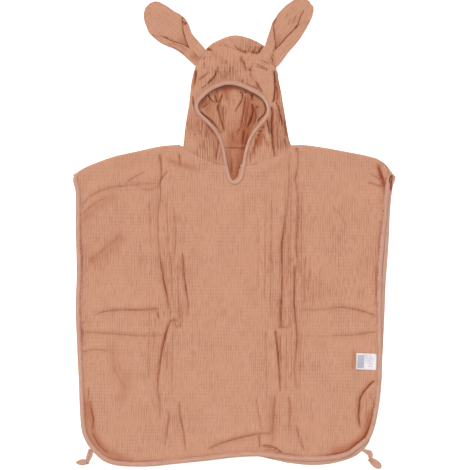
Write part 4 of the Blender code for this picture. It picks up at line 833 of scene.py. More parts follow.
def stretched(tree, cut, width, length, detail=2.0):
    """Noise with patches of a width and a length on the cut cloth, in metres."""
    scaled = add_node(tree, "ShaderNodeMapping", {"Vector": cut, "Scale": (1 / width, 1 / length, 1)})
    return add_node(tree, "ShaderNodeTexNoise", {
        "Vector": scaled.outputs["Vector"], "Scale": 1.0, "Detail": detail,
        "Roughness": 0.5}).outputs["Fac"]


def maths(tree, operation, a, b=None, c=None):
    node = tree.nodes.new("ShaderNodeMath")
    node.operation = operation
    for socket, value in zip(node.inputs, (a, b, c)):
        if value is None:
            continue
        if isinstance(value, bpy.types.NodeSocket):
            tree.links.new(value, socket)
        else:
            socket.default_value = value
    return node.outputs[0]


def ramped(tree, value, low, high, out_low=0.0, out_high=1.0):
    return add_node(tree, "ShaderNodeMapRange", {
        0: value, 1: low, 2: high, 3: out_low, 4: out_high}, interpolation_type="SMOOTHSTEP").outputs[0]


def tinted(tree, factor, colour_a, colour_b):
    node = tree.nodes.new("ShaderNodeMix")
    node.data_type = "RGBA"
    for socket, value in ((node.inputs[0], factor), (node.inputs[6], colour_a), (node.inputs[7], colour_b)):
        if isinstance(value, bpy.types.NodeSocket):
            tree.links.new(value, socket)
        else:
            socket.default_value = value
    return node.outputs[2]


def pinches(tree, cut, axis, spacing, sway, depth):
    """Even pinched lines across the cut that wander a little and come and go: 0 between, depth in them."""
    place = add_node(tree, "ShaderNodeSeparateXYZ", {"Vector": cut}).outputs[axis]
    long_way = (0.030, 0.110) if axis == 0 else (0.110, 0.030)
    bent = stretched(tree, cut, *long_way)
    turns = maths(tree, "MULTIPLY_ADD", place, 2 * math.pi / spacing,
                  maths(tree, "MULTIPLY", bent, 2 * math.pi * sway))
    line = ramped(tree, maths(tree, "SINE", turns), 0.0, 1.0)
    patch = stretched(tree, cut, *((0.035, 0.060) if axis == 0 else (0.060, 0.035)))
    return maths(tree, "MULTIPLY", line, ramped(tree, patch, 0.36, 0.62, 0.25 * depth, depth))


def toned(colour, *by):
    """A colour with its red, green and blue each times a number, and opaque."""
    return tuple(min(1.0, c * k) for c, k in zip(colour, by if len(by) == 3 else by * 3)) + (1.0,)


def attribute(tree, name):
    return add_node(tree, "ShaderNodeAttribute", attribute_name=name).outputs["Fac"]


def pinched_line(tree, away):
    """1 on a crease's line: a hard edge towards its ridge and a soft one the other way."""
    reach = maths(tree, "MAXIMUM", maths(tree, "MULTIPLY", away, 1.3), maths(tree, "MULTIPLY", away, -0.8))
    return ramped(tree, reach, 0.3, 1.6, 1.0, 0.0)


def deepened(tree, factor, power):
    """The factor, taken nearer to 1."""
    kept = maths(tree, "MAXIMUM", maths(tree, "SUBTRACT", 1.0, factor), 0.0)
    return maths(tree, "SUBTRACT", 1.0, maths(tree, "POWER", kept, power))


def double_gauze(name, colour):
    """Crinkled double gauze: upright pinched lines, fainter rows of tacking across, and a fine weave."""
    made, tree, shader = new_material(name)
    cut = add_node(tree, "ShaderNodeUVMap", uv_map="cut").outputs["UV"]
    upright = pinches(tree, cut, 0, 0.0046, 3.0, 1.0)
    across = pinches(tree, cut, 1, 0.0066, 1.6, 0.38)
    streaks = ramped(tree, stretched(tree, cut, 0.0026, 0.020, 1.5), 0.48, 0.70)
    grain = stretched(tree, cut, 0.0021, 0.012, 1.0)
    weave = stretched(tree, cut, 0.0007, 0.0007, 0.0)
    painted_shade = attribute(tree, "painted_shade")
    gathers = attribute(tree, "gathers")
    ragged = maths(tree, "SUBTRACT", stretched(tree, cut, 0.004, 0.009, 1.0), 0.5)
    away = maths(tree, "MULTIPLY_ADD", ragged, 1.7, attribute(tree, "crease_away"))
    uneven = ramped(tree, stretched(tree, cut, 0.008, 0.018, 1.0), 0.34, 0.60, 0.50, 1.0)
    crease = maths(tree, "MULTIPLY", maths(
        tree, "MULTIPLY", pinched_line(tree, away), attribute(tree, "crease_shade")), uneven)
    # Relief in millimetres.
    height = maths(tree, "MULTIPLY", upright, -0.28)
    for pattern, rise in ((across, -0.30), (streaks, -0.30), (grain, 0.45), (weave, 0.05), (crease, -0.9)):
        height = maths(tree, "MULTIPLY_ADD", pattern, rise, height)
    bump = add_node(tree, "ShaderNodeBump", {"Height": height, "Strength": 1.0, "Distance": MM})
    # The grain's colour follows its relief: painted light on its tops and painted shade in its lows.
    base = tinted(tree, ramped(tree, grain, 0.30, 0.70), toned(colour, 0.955, 0.945, 0.94),
                  toned(colour, 1.035, 1.04, 1.045))
    # Painted shade: the pinches, the streaks and the rows across take a darker, redder colour, more where
    # the cloth is gathered, and so do the hollows and the creases' lines. The clouds are the cloth's own
    # uneven tone.
    pinch_shade = maths(tree, "MULTIPLY", upright, maths(tree, "MULTIPLY_ADD", gathers, 0.55, 0.30))
    streak_shade = maths(tree, "MULTIPLY", streaks, maths(tree, "MULTIPLY_ADD", gathers, 0.50, 0.28))
    gathered = maths(tree, "MULTIPLY", maths(tree, "MAXIMUM", upright, streaks), gathers)
    clouds = ramped(tree, stretched(tree, cut, 0.07, 0.05), 0.42, 0.68, 0.0, 0.5)
    for share, tone in (
            (pinch_shade, (0.71, 0.57, 0.50)),
            (streak_shade, (0.71, 0.57, 0.50)),
            (maths(tree, "MULTIPLY", gathered, 0.5), (0.46, 0.26, 0.17)),
            (maths(tree, "MULTIPLY", across, 0.42), (0.72, 0.60, 0.54)),
            (clouds, (0.99, 0.95, 0.92)),
            (deepened(tree, painted_shade, 1.35), (0.57, 0.25, 0.12)),
            (deepened(tree, crease, 1.5), (0.40, 0.17, 0.09))):
        base = tinted(tree, share, base, toned(colour, *tone))
    finished(tree, shader, base, bump, {
        "Roughness": 0.95, "Specular IOR Level": 0.06, "Sheen Weight": 0.04, "Sheen Roughness": 0.6,
        "Sheen Tint": (1.0, 0.80, 0.70, 1.0)})
    return made


def binding_tape(name, colour):
    """Plain-woven bias tape: a fine slanting weave, with faint puckers along its stitching."""
    made, tree, shader = new_material(name)
    cut = add_node(tree, "ShaderNodeUVMap", uv_map="cut").outputs["UV"]
    slant = add_node(tree, "ShaderNodeMapping", {"Vector": cut, "Rotation": (0, 0, math.radians(45))})
    threads = [add_node(tree, "ShaderNodeTexWave", {
        "Vector": slant.outputs["Vector"], "Scale": 700.0, "Distortion": 0.6},
        bands_direction=way).outputs["Fac"] for way in ("X", "Y")]
    weave = maths(tree, "MULTIPLY", threads[0], threads[1])
    puckers = stretched(tree, cut, 0.0045, 0.02)
    clouds = stretched(tree, cut, 0.03, 0.02)
    height = maths(tree, "MULTIPLY_ADD", puckers, 0.9, maths(tree, "MULTIPLY", weave, 0.12))
    bump = add_node(tree, "ShaderNodeBump", {"Height": height, "Strength": 0.5, "Distance": 0.0012})
    # The puckers are painted darker in their lows and lighter on their tops: painted shade and light.
    base = tinted(tree, ramped(tree, puckers, 0.3, 0.7), toned(colour, 0.90, 0.86, 0.84),
                  toned(colour, 1.04, 1.05, 1.06))
    base = tinted(tree, ramped(tree, clouds, 0.35, 0.7, 0.0, 0.5), base, toned(colour, 1.0))
    # Painted shade in the tape's hollows.
    deep_shade = toned(colour, 0.48, 0.19, 0.10)
    base = tinted(tree, deepened(tree, attribute(tree, "painted_shade"), 1.2), base, deep_shade)
    # The stitching gathers the tape's inner edge into puckers, with a row of dots of painted shade in them.
    along = add_node(tree, "ShaderNodeSeparateXYZ", {"Vector": cut}).outputs[1]
    turns = maths(tree, "MULTIPLY_ADD", along, 2 * math.pi / 0.0047,
                  maths(tree, "MULTIPLY", stretched(tree, cut, 0.03, 0.02), 26.0))
    pucker_shade = maths(tree, "MULTIPLY", ramped(tree, maths(tree, "SINE", turns), 0.0, 0.9),
                 attribute(tree, "gathers"))
    pucker_shade = maths(tree, "MULTIPLY", pucker_shade, ramped(tree, stretched(tree, cut, 0.01, 0.011, 1.0), 0.40, 0.58))
    base = tinted(tree, pucker_shade, base, deep_shade)
    # Painted shade on the creases' lines.
    crease_line_shade = maths(tree, "MULTIPLY", pinched_line(tree, attribute(tree, "crease_away")),
                    attribute(tree, "crease_shade"))
    base = tinted(tree, deepened(tree, crease_line_shade, 1.4), base, toned(colour, 0.38, 0.15, 0.08))
    finished(tree, shader, base, bump, {
        "Roughness": 0.9, "Specular IOR Level": 0.1, "Sheen Weight": 0.06, "Sheen Roughness": 0.5})
    return made


def sewing_thread(name, colour):
    made, tree, shader = new_material(name)
    place = add_node(tree, "ShaderNodeTexCoord").outputs["Object"]
    twist = add_node(tree, "ShaderNodeTexNoise", {"Vector": place, "Scale": 2500.0}).outputs["Fac"]
    base = tinted(tree, twist, toned(colour, 0.82), toned(colour, 1.0))
    finished(tree, shader, base, None, {"Roughness": 0.6, "Specular IOR Level": 0.35})
    return made


def between(tree, value, low, high):
    """1 where the value lies between two numbers."""
    return maths(tree, "MULTIPLY", maths(tree, "GREATER_THAN", value, low),
                 maths(tree, "LESS_THAN", value, high))


def label_satin(name):
    """White satin ribbon with a soft gloss, and a few faint grey woven bars."""
    made, tree, shader = new_material(name)
    cut = add_node(tree, "ShaderNodeUVMap", uv_map="cut").outputs["UV"]
    float_threads = add_node(tree, "ShaderNodeTexWave", {
        "Vector": cut, "Scale": 520.0, "Distortion": 0.4}, bands_direction="Y").outputs["Fac"]
    parts = add_node(tree, "ShaderNodeSeparateXYZ", {"Vector": cut})
    soft = stretched(tree, cut, 0.012, 0.02)
    base = tinted(tree, ramped(tree, soft, 0.3, 0.7), (0.50, 0.45, 0.46, 1.0), (0.60, 0.57, 0.59, 1.0))
    # A plain grey block and a few short plain bars stand for its printing.
    block = maths(tree, "MULTIPLY", between(tree, parts.outputs[0], -0.0168, -0.0040),
                  between(tree, parts.outputs[1], -0.0125, 0.0125))
    rows = maths(tree, "GREATER_THAN", maths(tree, "SINE", maths(
        tree, "MULTIPLY", parts.outputs[1], 2 * math.pi / 0.0048)), 0.35)
    broken = ramped(tree, stretched(tree, cut, 0.0050, 0.0030, 0.0), 0.42, 0.50)
    bars = maths(tree, "MULTIPLY", maths(tree, "MULTIPLY", rows, broken), maths(
        tree, "MULTIPLY", between(tree, parts.outputs[0], -0.0025, 0.0120),
        between(tree, parts.outputs[1], -0.0125, 0.0125)))
    base = tinted(tree, maths(tree, "MULTIPLY", block, 0.75), base, (0.24, 0.24, 0.29, 1.0))
    base = tinted(tree, maths(tree, "MULTIPLY", bars, 0.62), base, (0.24, 0.235, 0.285, 1.0))
    bump = add_node(tree, "ShaderNodeBump", {"Height": float_threads, "Strength": 0.15,
                                             "Distance": 0.0003})
    finished(tree, shader, base, bump, {"Roughness": 0.42, "Specular IOR Level": 0.5, "Sheen Weight": 0.1})
    return made


TERRACOTTA = (0.440, 0.228, 0.150)
# A darker copy of the gauze's colour for the hood's inside and the back panel: painted shade.
TERRACOTTA_SHADED = (0.418, 0.204, 0.130)
TERRACOTTA_TAPE = (0.440, 0.247, 0.180)
THREAD = (0.425, 0.238, 0.172)
gauze = double_gauze("crinkled_double_gauze", TERRACOTTA)
gauze_shaded = double_gauze("crinkled_double_gauze_shaded", TERRACOTTA_SHADED)
tape_finish = binding_tape("terracotta_bias_tape", TERRACOTTA_TAPE)
thread_finish = sewing_thread("terracotta_sewing_thread", THREAD)
satin = label_satin("white_label_satin")


# --- Making pieces.

front_left = smooth_line(FRONT_LEFT_SIDE)
front_right = smooth_line(FRONT_RIGHT_SIDE)
back_right = smooth_line(BACK_RIGHT_SIDE)
front_hem = smooth_line(FRONT_HEM)
back_hem = smooth_line(BACK_HEM)
shoulder_left = smooth_line(SHOULDER_LEFT)
shoulder_right = smooth_line(SHOULDER_RIGHT)

# The hems' ends from left to right, and how high each side starts there.
FRONT_ENDS = (FRONT_HEM[0].x, FRONT_HEM[-1].x)
FRONT_LOWS = (FRONT_LEFT_SIDE[0].y, FRONT_RIGHT_SIDE[0].y)
BACK_ENDS = (BACK_HEM[0].x, BACK_HEM[-1].x)
BACK_LOWS = (BACK_HEM[0].y, BACK_RIGHT_SIDE[0].y)

# The lay's origin in the row frame, from the front panel's lowest point.
LAY_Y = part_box("front_panel")[0][1] - MM * float(front_hem(np.linspace(*FRONT_ENDS, 300)).min())
GROUND = cad_box[0][2]


def placed(x, y, z):
    """Garment millimetres in the row frame, as rows of x, y, z in metres."""
    return np.stack([x * MM, LAY_Y + y * MM, GROUND + z * MM], axis=-1)


def finish_mesh(name, mesh, finish):
    mesh.materials.append(finish)
    mesh.polygons.foreach_set("use_smooth", [True] * len(mesh.polygons))
    piece = bpy.data.objects.new(name, mesh)
    bpy.context.collection.objects.link(piece)
    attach(piece, "root")
    return piece


def grid_piece(name, columns, rows, place, finish, wall=WALL, offset=1.0):
    """A sheet from a grid: place gives x, y, z, the cut's own u and v, and its shading."""
    bm = bmesh.new()
    bmesh.ops.create_grid(bm, x_segments=columns, y_segments=rows, size=0.5)
    mesh = bpy.data.meshes.new(name)
    bm.to_mesh(mesh)
    bm.free()
    at = np.empty(3 * len(mesh.vertices))
    mesh.vertices.foreach_get("co", at)
    x, y, z, cut_u, cut_v, *shading = place(at[0::3] + 0.5, at[1::3] + 0.5)
    mesh.vertices.foreach_set("co", placed(x, y, z).ravel())
    corners = np.empty(len(mesh.loops), int)
    mesh.loops.foreach_get("vertex_index", corners)
    layer = mesh.uv_layers.new(name="cut")
    layer.data.foreach_set("uv", (np.stack([cut_u, cut_v], axis=1) * MM)[corners].ravel())
    # Kept with each point: its painted shade in hollows, the nearest crease line with the painted shade on
    # it, and how gathered the cloth is, which deepens the pinches' painted shade.
    for kind, values in zip(("painted_shade", "crease_away", "crease_shade", "gathers"), shading):
        kept = mesh.attributes.new(kind, "FLOAT", "POINT")
        kept.data.foreach_set("value", np.clip(values, -9, 9))
    mesh.update()
    piece = finish_mesh(name, mesh, finish)
    thick = piece.modifiers.new("wall", "SOLIDIFY")
    thick.thickness = wall * MM
    thick.offset = offset
    return piece


def tube_piece(name, line, half_width, half_height, finish, around=16, ridge=0.0):
    """A soft flat tube along a line of points: its half sizes are given at each point."""
    line = np.asarray(line, float)
    count = len(line)
    ahead = np.gradient(line, axis=0)
    ahead /= np.linalg.norm(ahead, axis=1)[:, None]
    run = lengths(line)
    bm = bmesh.new()
    bmesh.ops.create_grid(bm, x_segments=around, y_segments=count - 1, size=0.5)
    layer = bm.loops.layers.uv.new("cut")
    girth = float(np.mean(half_width)) * 2 * math.pi
    for face in bm.faces:
        for loop in face.loops:
            loop[layer].uv = ((loop.vert.co.x + 0.5) * girth * MM,
                              run[round((loop.vert.co.y + 0.5) * (count - 1))] * MM)
    for vert in bm.verts:
        k = round((vert.co.y + 0.5) * (count - 1))
        angle = 2 * math.pi * (vert.co.x + 0.5)
        across = np.cross((0, 0, 1), ahead[k])
        across /= max(np.linalg.norm(across), 1e-6)
        up = np.cross(ahead[k], across)
        wide = np.sign(math.cos(angle)) * abs(math.cos(angle)) ** 0.85 * half_width[k]
        tall = np.sign(math.sin(angle)) * abs(math.sin(angle)) ** 0.85 * half_height[k]
        tall *= 1 - ridge * math.exp(-(wide / max(0.28 * half_width[k], 1e-3)) ** 2)
        vert.co = Vector(placed(*(line[k] + wide * across + tall * up)))
    bmesh.ops.remove_doubles(bm, verts=bm.verts, dist=1e-6)
    bmesh.ops.holes_fill(bm, edges=[edge for edge in bm.edges if edge.is_boundary], sides=0)
    bmesh.ops.recalc_face_normals(bm, faces=bm.faces)
    mesh = bpy.data.meshes.new(name)
    bm.to_mesh(mesh)
    bm.free()
    return finish_mesh(name, mesh, finish)


def stitch_row(name, line):
    """Lockstitches along a line of points with the thread lying on the cloth."""
    line = even_line(line, STITCH_STEP)
    half_thread = THREAD_WIDTH / 2 * MM
    size = Matrix.Diagonal((STITCH_LENGTH / 2 * MM, half_thread, half_thread, 1.0))
    bm = bmesh.new()
    for k in range(len(line) - 1):
        middle = placed(*((line[k] + line[k + 1]) / 2))
        ahead = Vector(line[k + 1] - line[k]).normalized()
        turn = ahead.to_track_quat("X", "Z").to_matrix().to_4x4()
        bmesh.ops.create_uvsphere(bm, u_segments=6, v_segments=4, radius=1.0,
                                  matrix=Matrix.Translation(Vector(middle)) @ turn @ size)
    mesh = bpy.data.meshes.new(name)
    bm.to_mesh(mesh)
    bm.free()
    return finish_mesh(name, mesh, thread_finish)


# --- The camera, and the ties, which need none of the shared lines.

VIEW_MIDDLE = (1.9, 438.9)
VIEW_WIDTH = 893.0
VIEW_Z = 5.0                # the height at which the view is that wide


def add_camera():
    camera = bpy.data.cameras.new("overhead_camera")
    camera.lens = 85.0
    camera.sensor_width = 36.0
    piece = bpy.data.objects.new("overhead_camera", camera)
    piece.location = Vector(placed(*VIEW_MIDDLE, VIEW_Z + VIEW_WIDTH * camera.lens / camera.sensor_width))
    bpy.context.collection.objects.link(piece)
    bpy.context.scene.camera = piece


add_camera()


def tie(name, route, knot, tip, strand, leaf_shape):
    """A doubled strap of folded tape out of the binding, knotted, with a leaf-shaped end beyond the knot.

    route is the upper strap's way to the knot and strand the one that lies under it.
    """
    knot = np.array([*knot, TIE_KNOT_Z])
    tip = np.array([*tip, TIE_TIP_Z])
    way = (tip - knot) / np.linalg.norm(tip - knot)
    start = [np.array([*point, TIE_Z]) for point in route]
    through = [knot, *(knot + distance * way for distance in TIE_THROUGH)]
    line = even_line(rounded(start + through, 3), TIE_STEP)
    strap = tube_piece(name + "_ribbon", line, np.full(len(line), TIE_WIDTH * 0.58),
                       np.full(len(line), TIE_WIDTH * 0.28), tape_finish, ridge=0.35)
    low = even_line(rounded([np.array([*point, TIE_STRAND_Z]) for point in strand], 3), TIE_STEP)
    lower = tube_piece(name + "_lower_ribbon", low, np.full(len(low), TIE_WIDTH * 0.5),
                       np.full(len(low), TIE_WIDTH * 0.24), tape_finish, around=12, ridge=0.3)

    # The knot is one turn of the tape round the strap and itself.
    turns = []
    upwards = np.array([0, 0, 1.0])
    across = np.cross(upwards, way)
    for share in np.linspace(0, 1, 44):
        angle = 2 * math.pi * KNOT_TURNS * share + 0.5
        turns.append(knot + (share - 0.5) * KNOT_LENGTH * way + KNOT_HALF_WIDTH * math.cos(angle) * across
                     + (KNOT_HALF_HEIGHT * math.sin(angle) + 0.5) * upwards)
    turns = np.array(turns)
    wrap = tube_piece(name + "_knot", turns, np.full(len(turns), 1.7), np.full(len(turns), 1.5),
                      tape_finish, around=12)

    reach = np.linalg.norm(tip - knot)
    shares = np.linspace(0.02, 1.0, 30)
    leaf_line = np.array([knot + share * reach * way for share in shares])
    leaf_line[:, 2] = 1.7 + 0.9 * np.sin(math.pi * shares) + 0.8 * (1 - shares)
    leaf = tube_piece(
        name + "_leaf", leaf_line,
        smooth_line(leaf_shape)(shares),
        np.interp(shares, (0.18, 0.4, 0.9, 1.0), (1.5, 1.25, 1.0, 0.3)),
        tape_finish, around=20, ridge=0.55)
    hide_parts(name + "_strap")
    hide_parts(name + "_strap")
    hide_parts(name + "_end")
    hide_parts(name + "_end")


tie("tie_left", TIE_LEFT, TIE_LEFT_KNOT, TIE_LEFT_TIP, TIE_LEFT_STRAND, TIE_LEFT_LEAF)
tie("tie_right", TIE_RIGHT, TIE_RIGHT_KNOT, TIE_RIGHT_TIP, TIE_RIGHT_STRAND, TIE_RIGHT_LEAF)


# --- Lines that the pieces share.

def hood_station(at, s):
    """x, y and z of the hood front's underside at a station and a share from outside to the face."""
    row = between_rows(HOOD_FRONT, at)
    length = np.hypot(row.inner_x - row.outer_x, row.inner_y - row.outer_y)
    x = row.outer_x + (row.inner_x - row.outer_x) * s
    y = row.outer_y + (row.inner_y - row.outer_y) * s - row.sag * 4 * s * (1 - s)
    band = 1 - FACE_BAND / length
    u = np.minimum(s / band, 1.0)
    bulge = row.mid_z - (row.rim_z + row.inner_z) / 2
    z = row.rim_z + (row.inner_z - row.rim_z) * u + bulge * 4 * u * (1 - u)
    return x, y, z, length


LAST_STATION = len(HOOD_FRONT) - 1
NECK_LEFT, NECK_RIGHT = [(HOOD_FRONT[k].inner_x, HOOD_FRONT[k].inner_y) for k in (0, -1)]


def body_top():
    """The line where the front panel ends: left shoulder fold, neck, slit, neck, right shoulder fold."""
    points = []
    for line, low, high in ((shoulder_left, -302.0, -102.0), (shoulder_right, 113.0, 306.0)):
        x = np.linspace(low, high, 60)
        slope = np.gradient(line(x), x)
        y = line(x) - ROLL * np.hypot(1, slope)
        points.append(np.stack([x, y, np.full(60, FRONT_EDGE_Z), np.ones(60)], axis=1))
    necks = []
    for station in (0, LAST_STATION):
        s = np.linspace(0.045, 1.0, 40)
        x, y, z, _ = hood_station(np.full(40, float(station)), s)
        necks.append(np.stack([x, y - 0.1, z, np.zeros(40)], axis=1))
    slit = rounded(SLIT, 2)
    slit = np.column_stack([slit, np.full(len(slit), HOOD_FRONT[0].inner_z), np.zeros(len(slit))])
    return np.vstack([points[0], necks[0], slit, necks[1][::-1], points[1]])


TOP = body_top()
SLIT_LINE = rounded([NECK_LEFT, *SLIT, NECK_RIGHT], 2)


def bound_edge(left, hem, right, ends, lows, top, step):
    """A panel's bound edge, down from its left shoulder, along the hem and up to the right one."""
    y = np.linspace(top[0, 1], lows[0], 120)
    left_line = np.stack([left(y), y], axis=1)
    x = np.linspace(*ends, 180)
    hem_line = np.stack([x, hem(x)], axis=1)
    y = np.linspace(lows[1], top[-1, 1], 120)
    right_line = np.stack([right(y), y], axis=1)
    return even_line(np.vstack([left_line, hem_line[1:-1], right_line]), step)


def on_panel(u, t, left, hem, right, ends, lows, top):
    """x and y at a share across a panel and a share up it, and the x where that share meets its top."""
    low_x = ends[0] + (ends[1] - ends[0]) * u
    high_x = top[0, 0] + (top[-1, 0] - top[0, 0]) * u
    low_y = hem(low_x)
    y = low_y + (np.interp(high_x, top[:, 0], top[:, 1]) - low_y) * t
    side_left = left(lows[0] + (top[0, 1] - lows[0]) * t)
    side_right = right(lows[1] + (top[-1, 1] - lows[1]) * t)
    return side_left + (side_right - side_left) * u, y, high_x


FRONT_SHAPE = (front_left, front_hem, front_right, FRONT_ENDS, FRONT_LOWS, TOP)
FRONT_EDGE = bound_edge(*FRONT_SHAPE, 2.2)
FRONT_EDGE_COARSE = even_line(FRONT_EDGE, 7.0)


def front_height(x, y):
    """Height of the front panel's underside, and its shading."""
    signed, along, _ = beside(FRONT_EDGE_COARSE, x, y)
    from_edge = np.abs(signed)
    edge = 1 - smooth_step((from_edge - BAND) / FRONT_BLEND)
    lift, soft, away, dark = creased(FRONT_CREASES, x, y)
    billow = 1.9 + 1.0 * patchy(x, y, 75, 110, 11) + 0.6 * patchy(x, y, 38, 60, 12)
    z = FRONT_Z + np.maximum(billow + lift + crinkle(x, y, 21), 0.0)
    # Puckers run in from the stitching along the tape, in some places more than in others.
    inside = from_edge - BODY_TAPE
    pucker = np.exp(-np.maximum(inside, 0) / 4.5) * smooth_step((inside + 1.5) / 3.0)
    wave = patchy(along + 0.35 * from_edge, from_edge, 4.6, 30.0, 31)
    busy = patches(EDGE_GATHERS, x, y)
    z_edge = FRONT_EDGE_Z + 0.6 * pucker * wave
    z = z + (z_edge - z) * edge
    # Painted shade in the puckers' lows, and a deeper painted shade beside the tape.
    fine = patchy(along + 0.6 * from_edge, from_edge, 3.0, 12.0, 33)
    painted_shade = 0.75 * pucker * busy * smooth_step(-1.2 * wave - 0.9 * fine)
    deep_shade = patches(EDGE_SHADES, x, y)
    painted_shade = np.maximum(painted_shade, (0.10 + deep_shade) * np.exp(-np.maximum(inside, 0) / (2.5 + 2.5 * deep_shade)))
    top_y = np.interp(x, TOP[:, 0], TOP[:, 1])
    top_z = np.interp(x, TOP[:, 0], TOP[:, 2])
    folded = np.interp(x, TOP[:, 0], TOP[:, 3])
    from_top = top_y - y
    near_top = 1 - smooth_step((from_top - 3.0 - 6.0 * (1 - folded)) / TOP_BLEND)
    z = z + (top_z + 0.25 * folded * crinkle(x, y, 21) - z) * near_top
    from_slit = np.abs(beside(SLIT_LINE, x, y)[0])
    near_slit = 1 - smooth_step((from_slit - 1.4 * FACE_BAND) / TOP_BLEND)
    z = z + (HOOD_FRONT[0].inner_z - z) * near_slit
    painted_shade = painted_shade * (1 - near_top) * (1 - near_slit)
    painted_shade = together(painted_shade, soft, shaded(FRONT_SHADES, x, y))
    # A painted shade line along the tape's inner edge.
    tape_edge_shade = np.minimum(1.1 * deep_shade, 1) * (1 - smooth_step((np.abs(inside - 0.4) - 2.0) / 2.0))
    tape_edge_shade = tape_edge_shade * (0.72 + 0.28 * patchy(along + 0.5 * from_edge, from_edge, 5.0, 16.0, 34))
    away = np.where(tape_edge_shade > dark, (inside - 0.4) / 1.3, away)
    dark = np.maximum(tape_edge_shade, dark)
    return z, (painted_shade, away, dark, patches(FRONT_GATHERS, x, y))


# --- The front panel.

FLAT_SHARE = 0.972          # rows above this share go over the shoulder fold
NECK_TUCK = 1.6             # how far the neck's edge goes in under the hood's strips


def front_place(u, v):
    t = np.minimum(v / FLAT_SHARE, 1.0)
    turn = np.maximum(v - FLAT_SHARE, 0.0) / (1 - FLAT_SHARE) * math.pi / 2
    x, y, high_x = on_panel(u, t, *FRONT_SHAPE)
    z, shading = front_height(x, y)
    folded = np.interp(high_x, TOP[:, 0], TOP[:, 3])
    # The tiny steps keep points apart that share an x.
    slope = np.interp(high_x, TOP[:, 0], np.gradient(TOP[:, 1], TOP[:, 0] + 1e-9 * np.arange(len(TOP))))
    slope = np.where(folded > 0.5, slope, 0.0)
    away = np.hypot(1, slope)
    out = ((ROLL - WALL) * folded + NECK_TUCK * (1 - folded)) * np.sin(turn)
    x_out = x - slope / away * out
    y_out = y + out / away
    z_out = z * (1 - folded) + z * folded * np.cos(turn) - 0.55 * (1 - folded) * np.sin(turn)
    return x_out, y_out, np.maximum(z_out, 0), x, y + turn * ROLL, *shading


front = grid_piece("front_gauze", 256, 192, front_place, gauze)
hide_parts("front_panel")


# --- Tapes.

def inward_ways(line, side):
    """Level directions across a line, to its left (1) or right (-1)."""
    ahead = np.gradient(line[:, :2], axis=0)
    ahead /= np.linalg.norm(ahead, axis=1)[:, None]
    return side * np.stack([-ahead[:, 1], ahead[:, 0]], axis=1)


def tape_piece(name, edge, ways, height, width, seed, folds=(), slim=None):
    """A folded tape round a bound edge, its stitched side gathered into small puckers.

    edge is the panel's edge, ways the level directions into the panel, and height gives the height of
    the panel's underside there. At each end folds gives the slope of the shoulder fold that the tape
    goes over: its last rows lie along the fold and turn down with it. slim gives the tape's share of
    its width at each point of the edge.
    """
    count = len(edge)
    run = lengths(edge[:, :2])
    arm = width - TAPE_SIDE
    nose = WALL / 2 + GAP
    profile = [(arm * t, -1, 0.0) for t in np.linspace(1, 0, 5)]
    profile += [(0.0, 0, a) for a in np.linspace(-60, 60, 5)]
    profile += [(arm * t, 1, 0.0) for t in np.linspace(0, 1, 11)]
    profile = np.array(profile)
    across_run = lengths(np.array([
        (d - (nose * math.cos(math.radians(a)) if side == 0 else 0),
         side * nose if side else nose * math.sin(math.radians(a))) for d, side, a in profile]))
    turned_rows = 5 if folds else 0
    row_of = np.concatenate([np.zeros(turned_rows), np.arange(count),
                             np.full(turned_rows, count - 1)]).astype(int)
    bent = math.pi / 2 / max(turned_rows, 1)
    turn_of = np.concatenate([bent * np.arange(turned_rows, 0, -1), np.zeros(count),
                              bent * np.arange(1, turned_rows + 1)])

    def place(u, v):
        i = np.rint(u * (len(profile) - 1)).astype(int)
        row = np.rint(v * (len(row_of) - 1)).astype(int)
        k, turn = row_of[row], turn_of[row]
        d, side, angle = profile[i, 0], profile[i, 1], np.radians(profile[i, 2])
        share = d / arm
        d = d * (1 + 0.015 * patchy(run[k], run[k] * 0, 9.0, 10.0, seed))
        if slim is not None:
            d = d * slim[k]
        x = edge[k, 0] + ways[k, 0] * d
        y = edge[k, 1] + ways[k, 1] * d
        slope = 0 * x
        if folds:
            slope = np.where(k < count / 2, folds[0], folds[1])
            to_end = np.minimum(run[k], run[-1] - run[k])
            y = y + slope * (x - edge[k, 0]) * smooth_step(1 - to_end / 14.0)
        ground = height(x, y, k)
        plump = 1.1 * np.sin(math.pi * np.clip(share, 0, 1)) ** 0.7
        wave = patchy(run[k] + 2.5 * d, d, 4.4, 14.0, seed + 1)
        stitched = np.exp(-((share - 0.84) / 0.11) ** 2)
        top = ground + WALL + GAP + plump + 0.22 * wave * np.clip(share * 1.6, 0, 1) - 0.35 * stitched
        top = np.maximum(top, ground + WALL + 0.12)
        nose_z = ground + WALL / 2 + (nose + 0.15) * np.sin(angle)
        z = np.where(side > 0, top, np.where(side < 0, ground - GAP, nose_z))
        out = np.where(side == 0, nose * np.cos(angle), 0.0)
        x = x - ways[k, 0] * out
        y = y - ways[k, 1] * out
        # Over the fold, higher cloth goes round further out.
        round_fold = (ROLL - WALL + z - ground) * np.sin(turn)
        flat = np.hypot(1, slope)
        x = x - slope / flat * round_fold
        y = y + round_fold / flat
        z = z * np.cos(turn)
        # Painted shade along the stitching and at the tape's inner edge, dots of painted shade where it is
        # gathered, and the painted shade of its creases.
        deep_shade = patches(EDGE_SHADES, x, y) if folds else 0 * x
        busy = patches(EDGE_GATHERS, x, y) if folds else 0.15 + 0 * x
        on_top = (side > 0).astype(float)
        painted_shade = on_top * (0.03 * stitched + (0.04 + deep_shade) * smooth_step((share - 0.9) / 0.1))
        gathers = on_top * busy * smooth_step((share - 0.55) / 0.3)
        _, soft, away, dark = creased(TAPE_CREASES, x, y)
        painted_shade = together(painted_shade, soft * on_top)
        return x, y, z, across_run[i], run[k] + turn * ROLL, painted_shade, away, dark * on_top, gathers

    return grid_piece(name, len(profile) - 1, len(row_of) - 1, place, tape_finish, wall=TAPE_WALL)


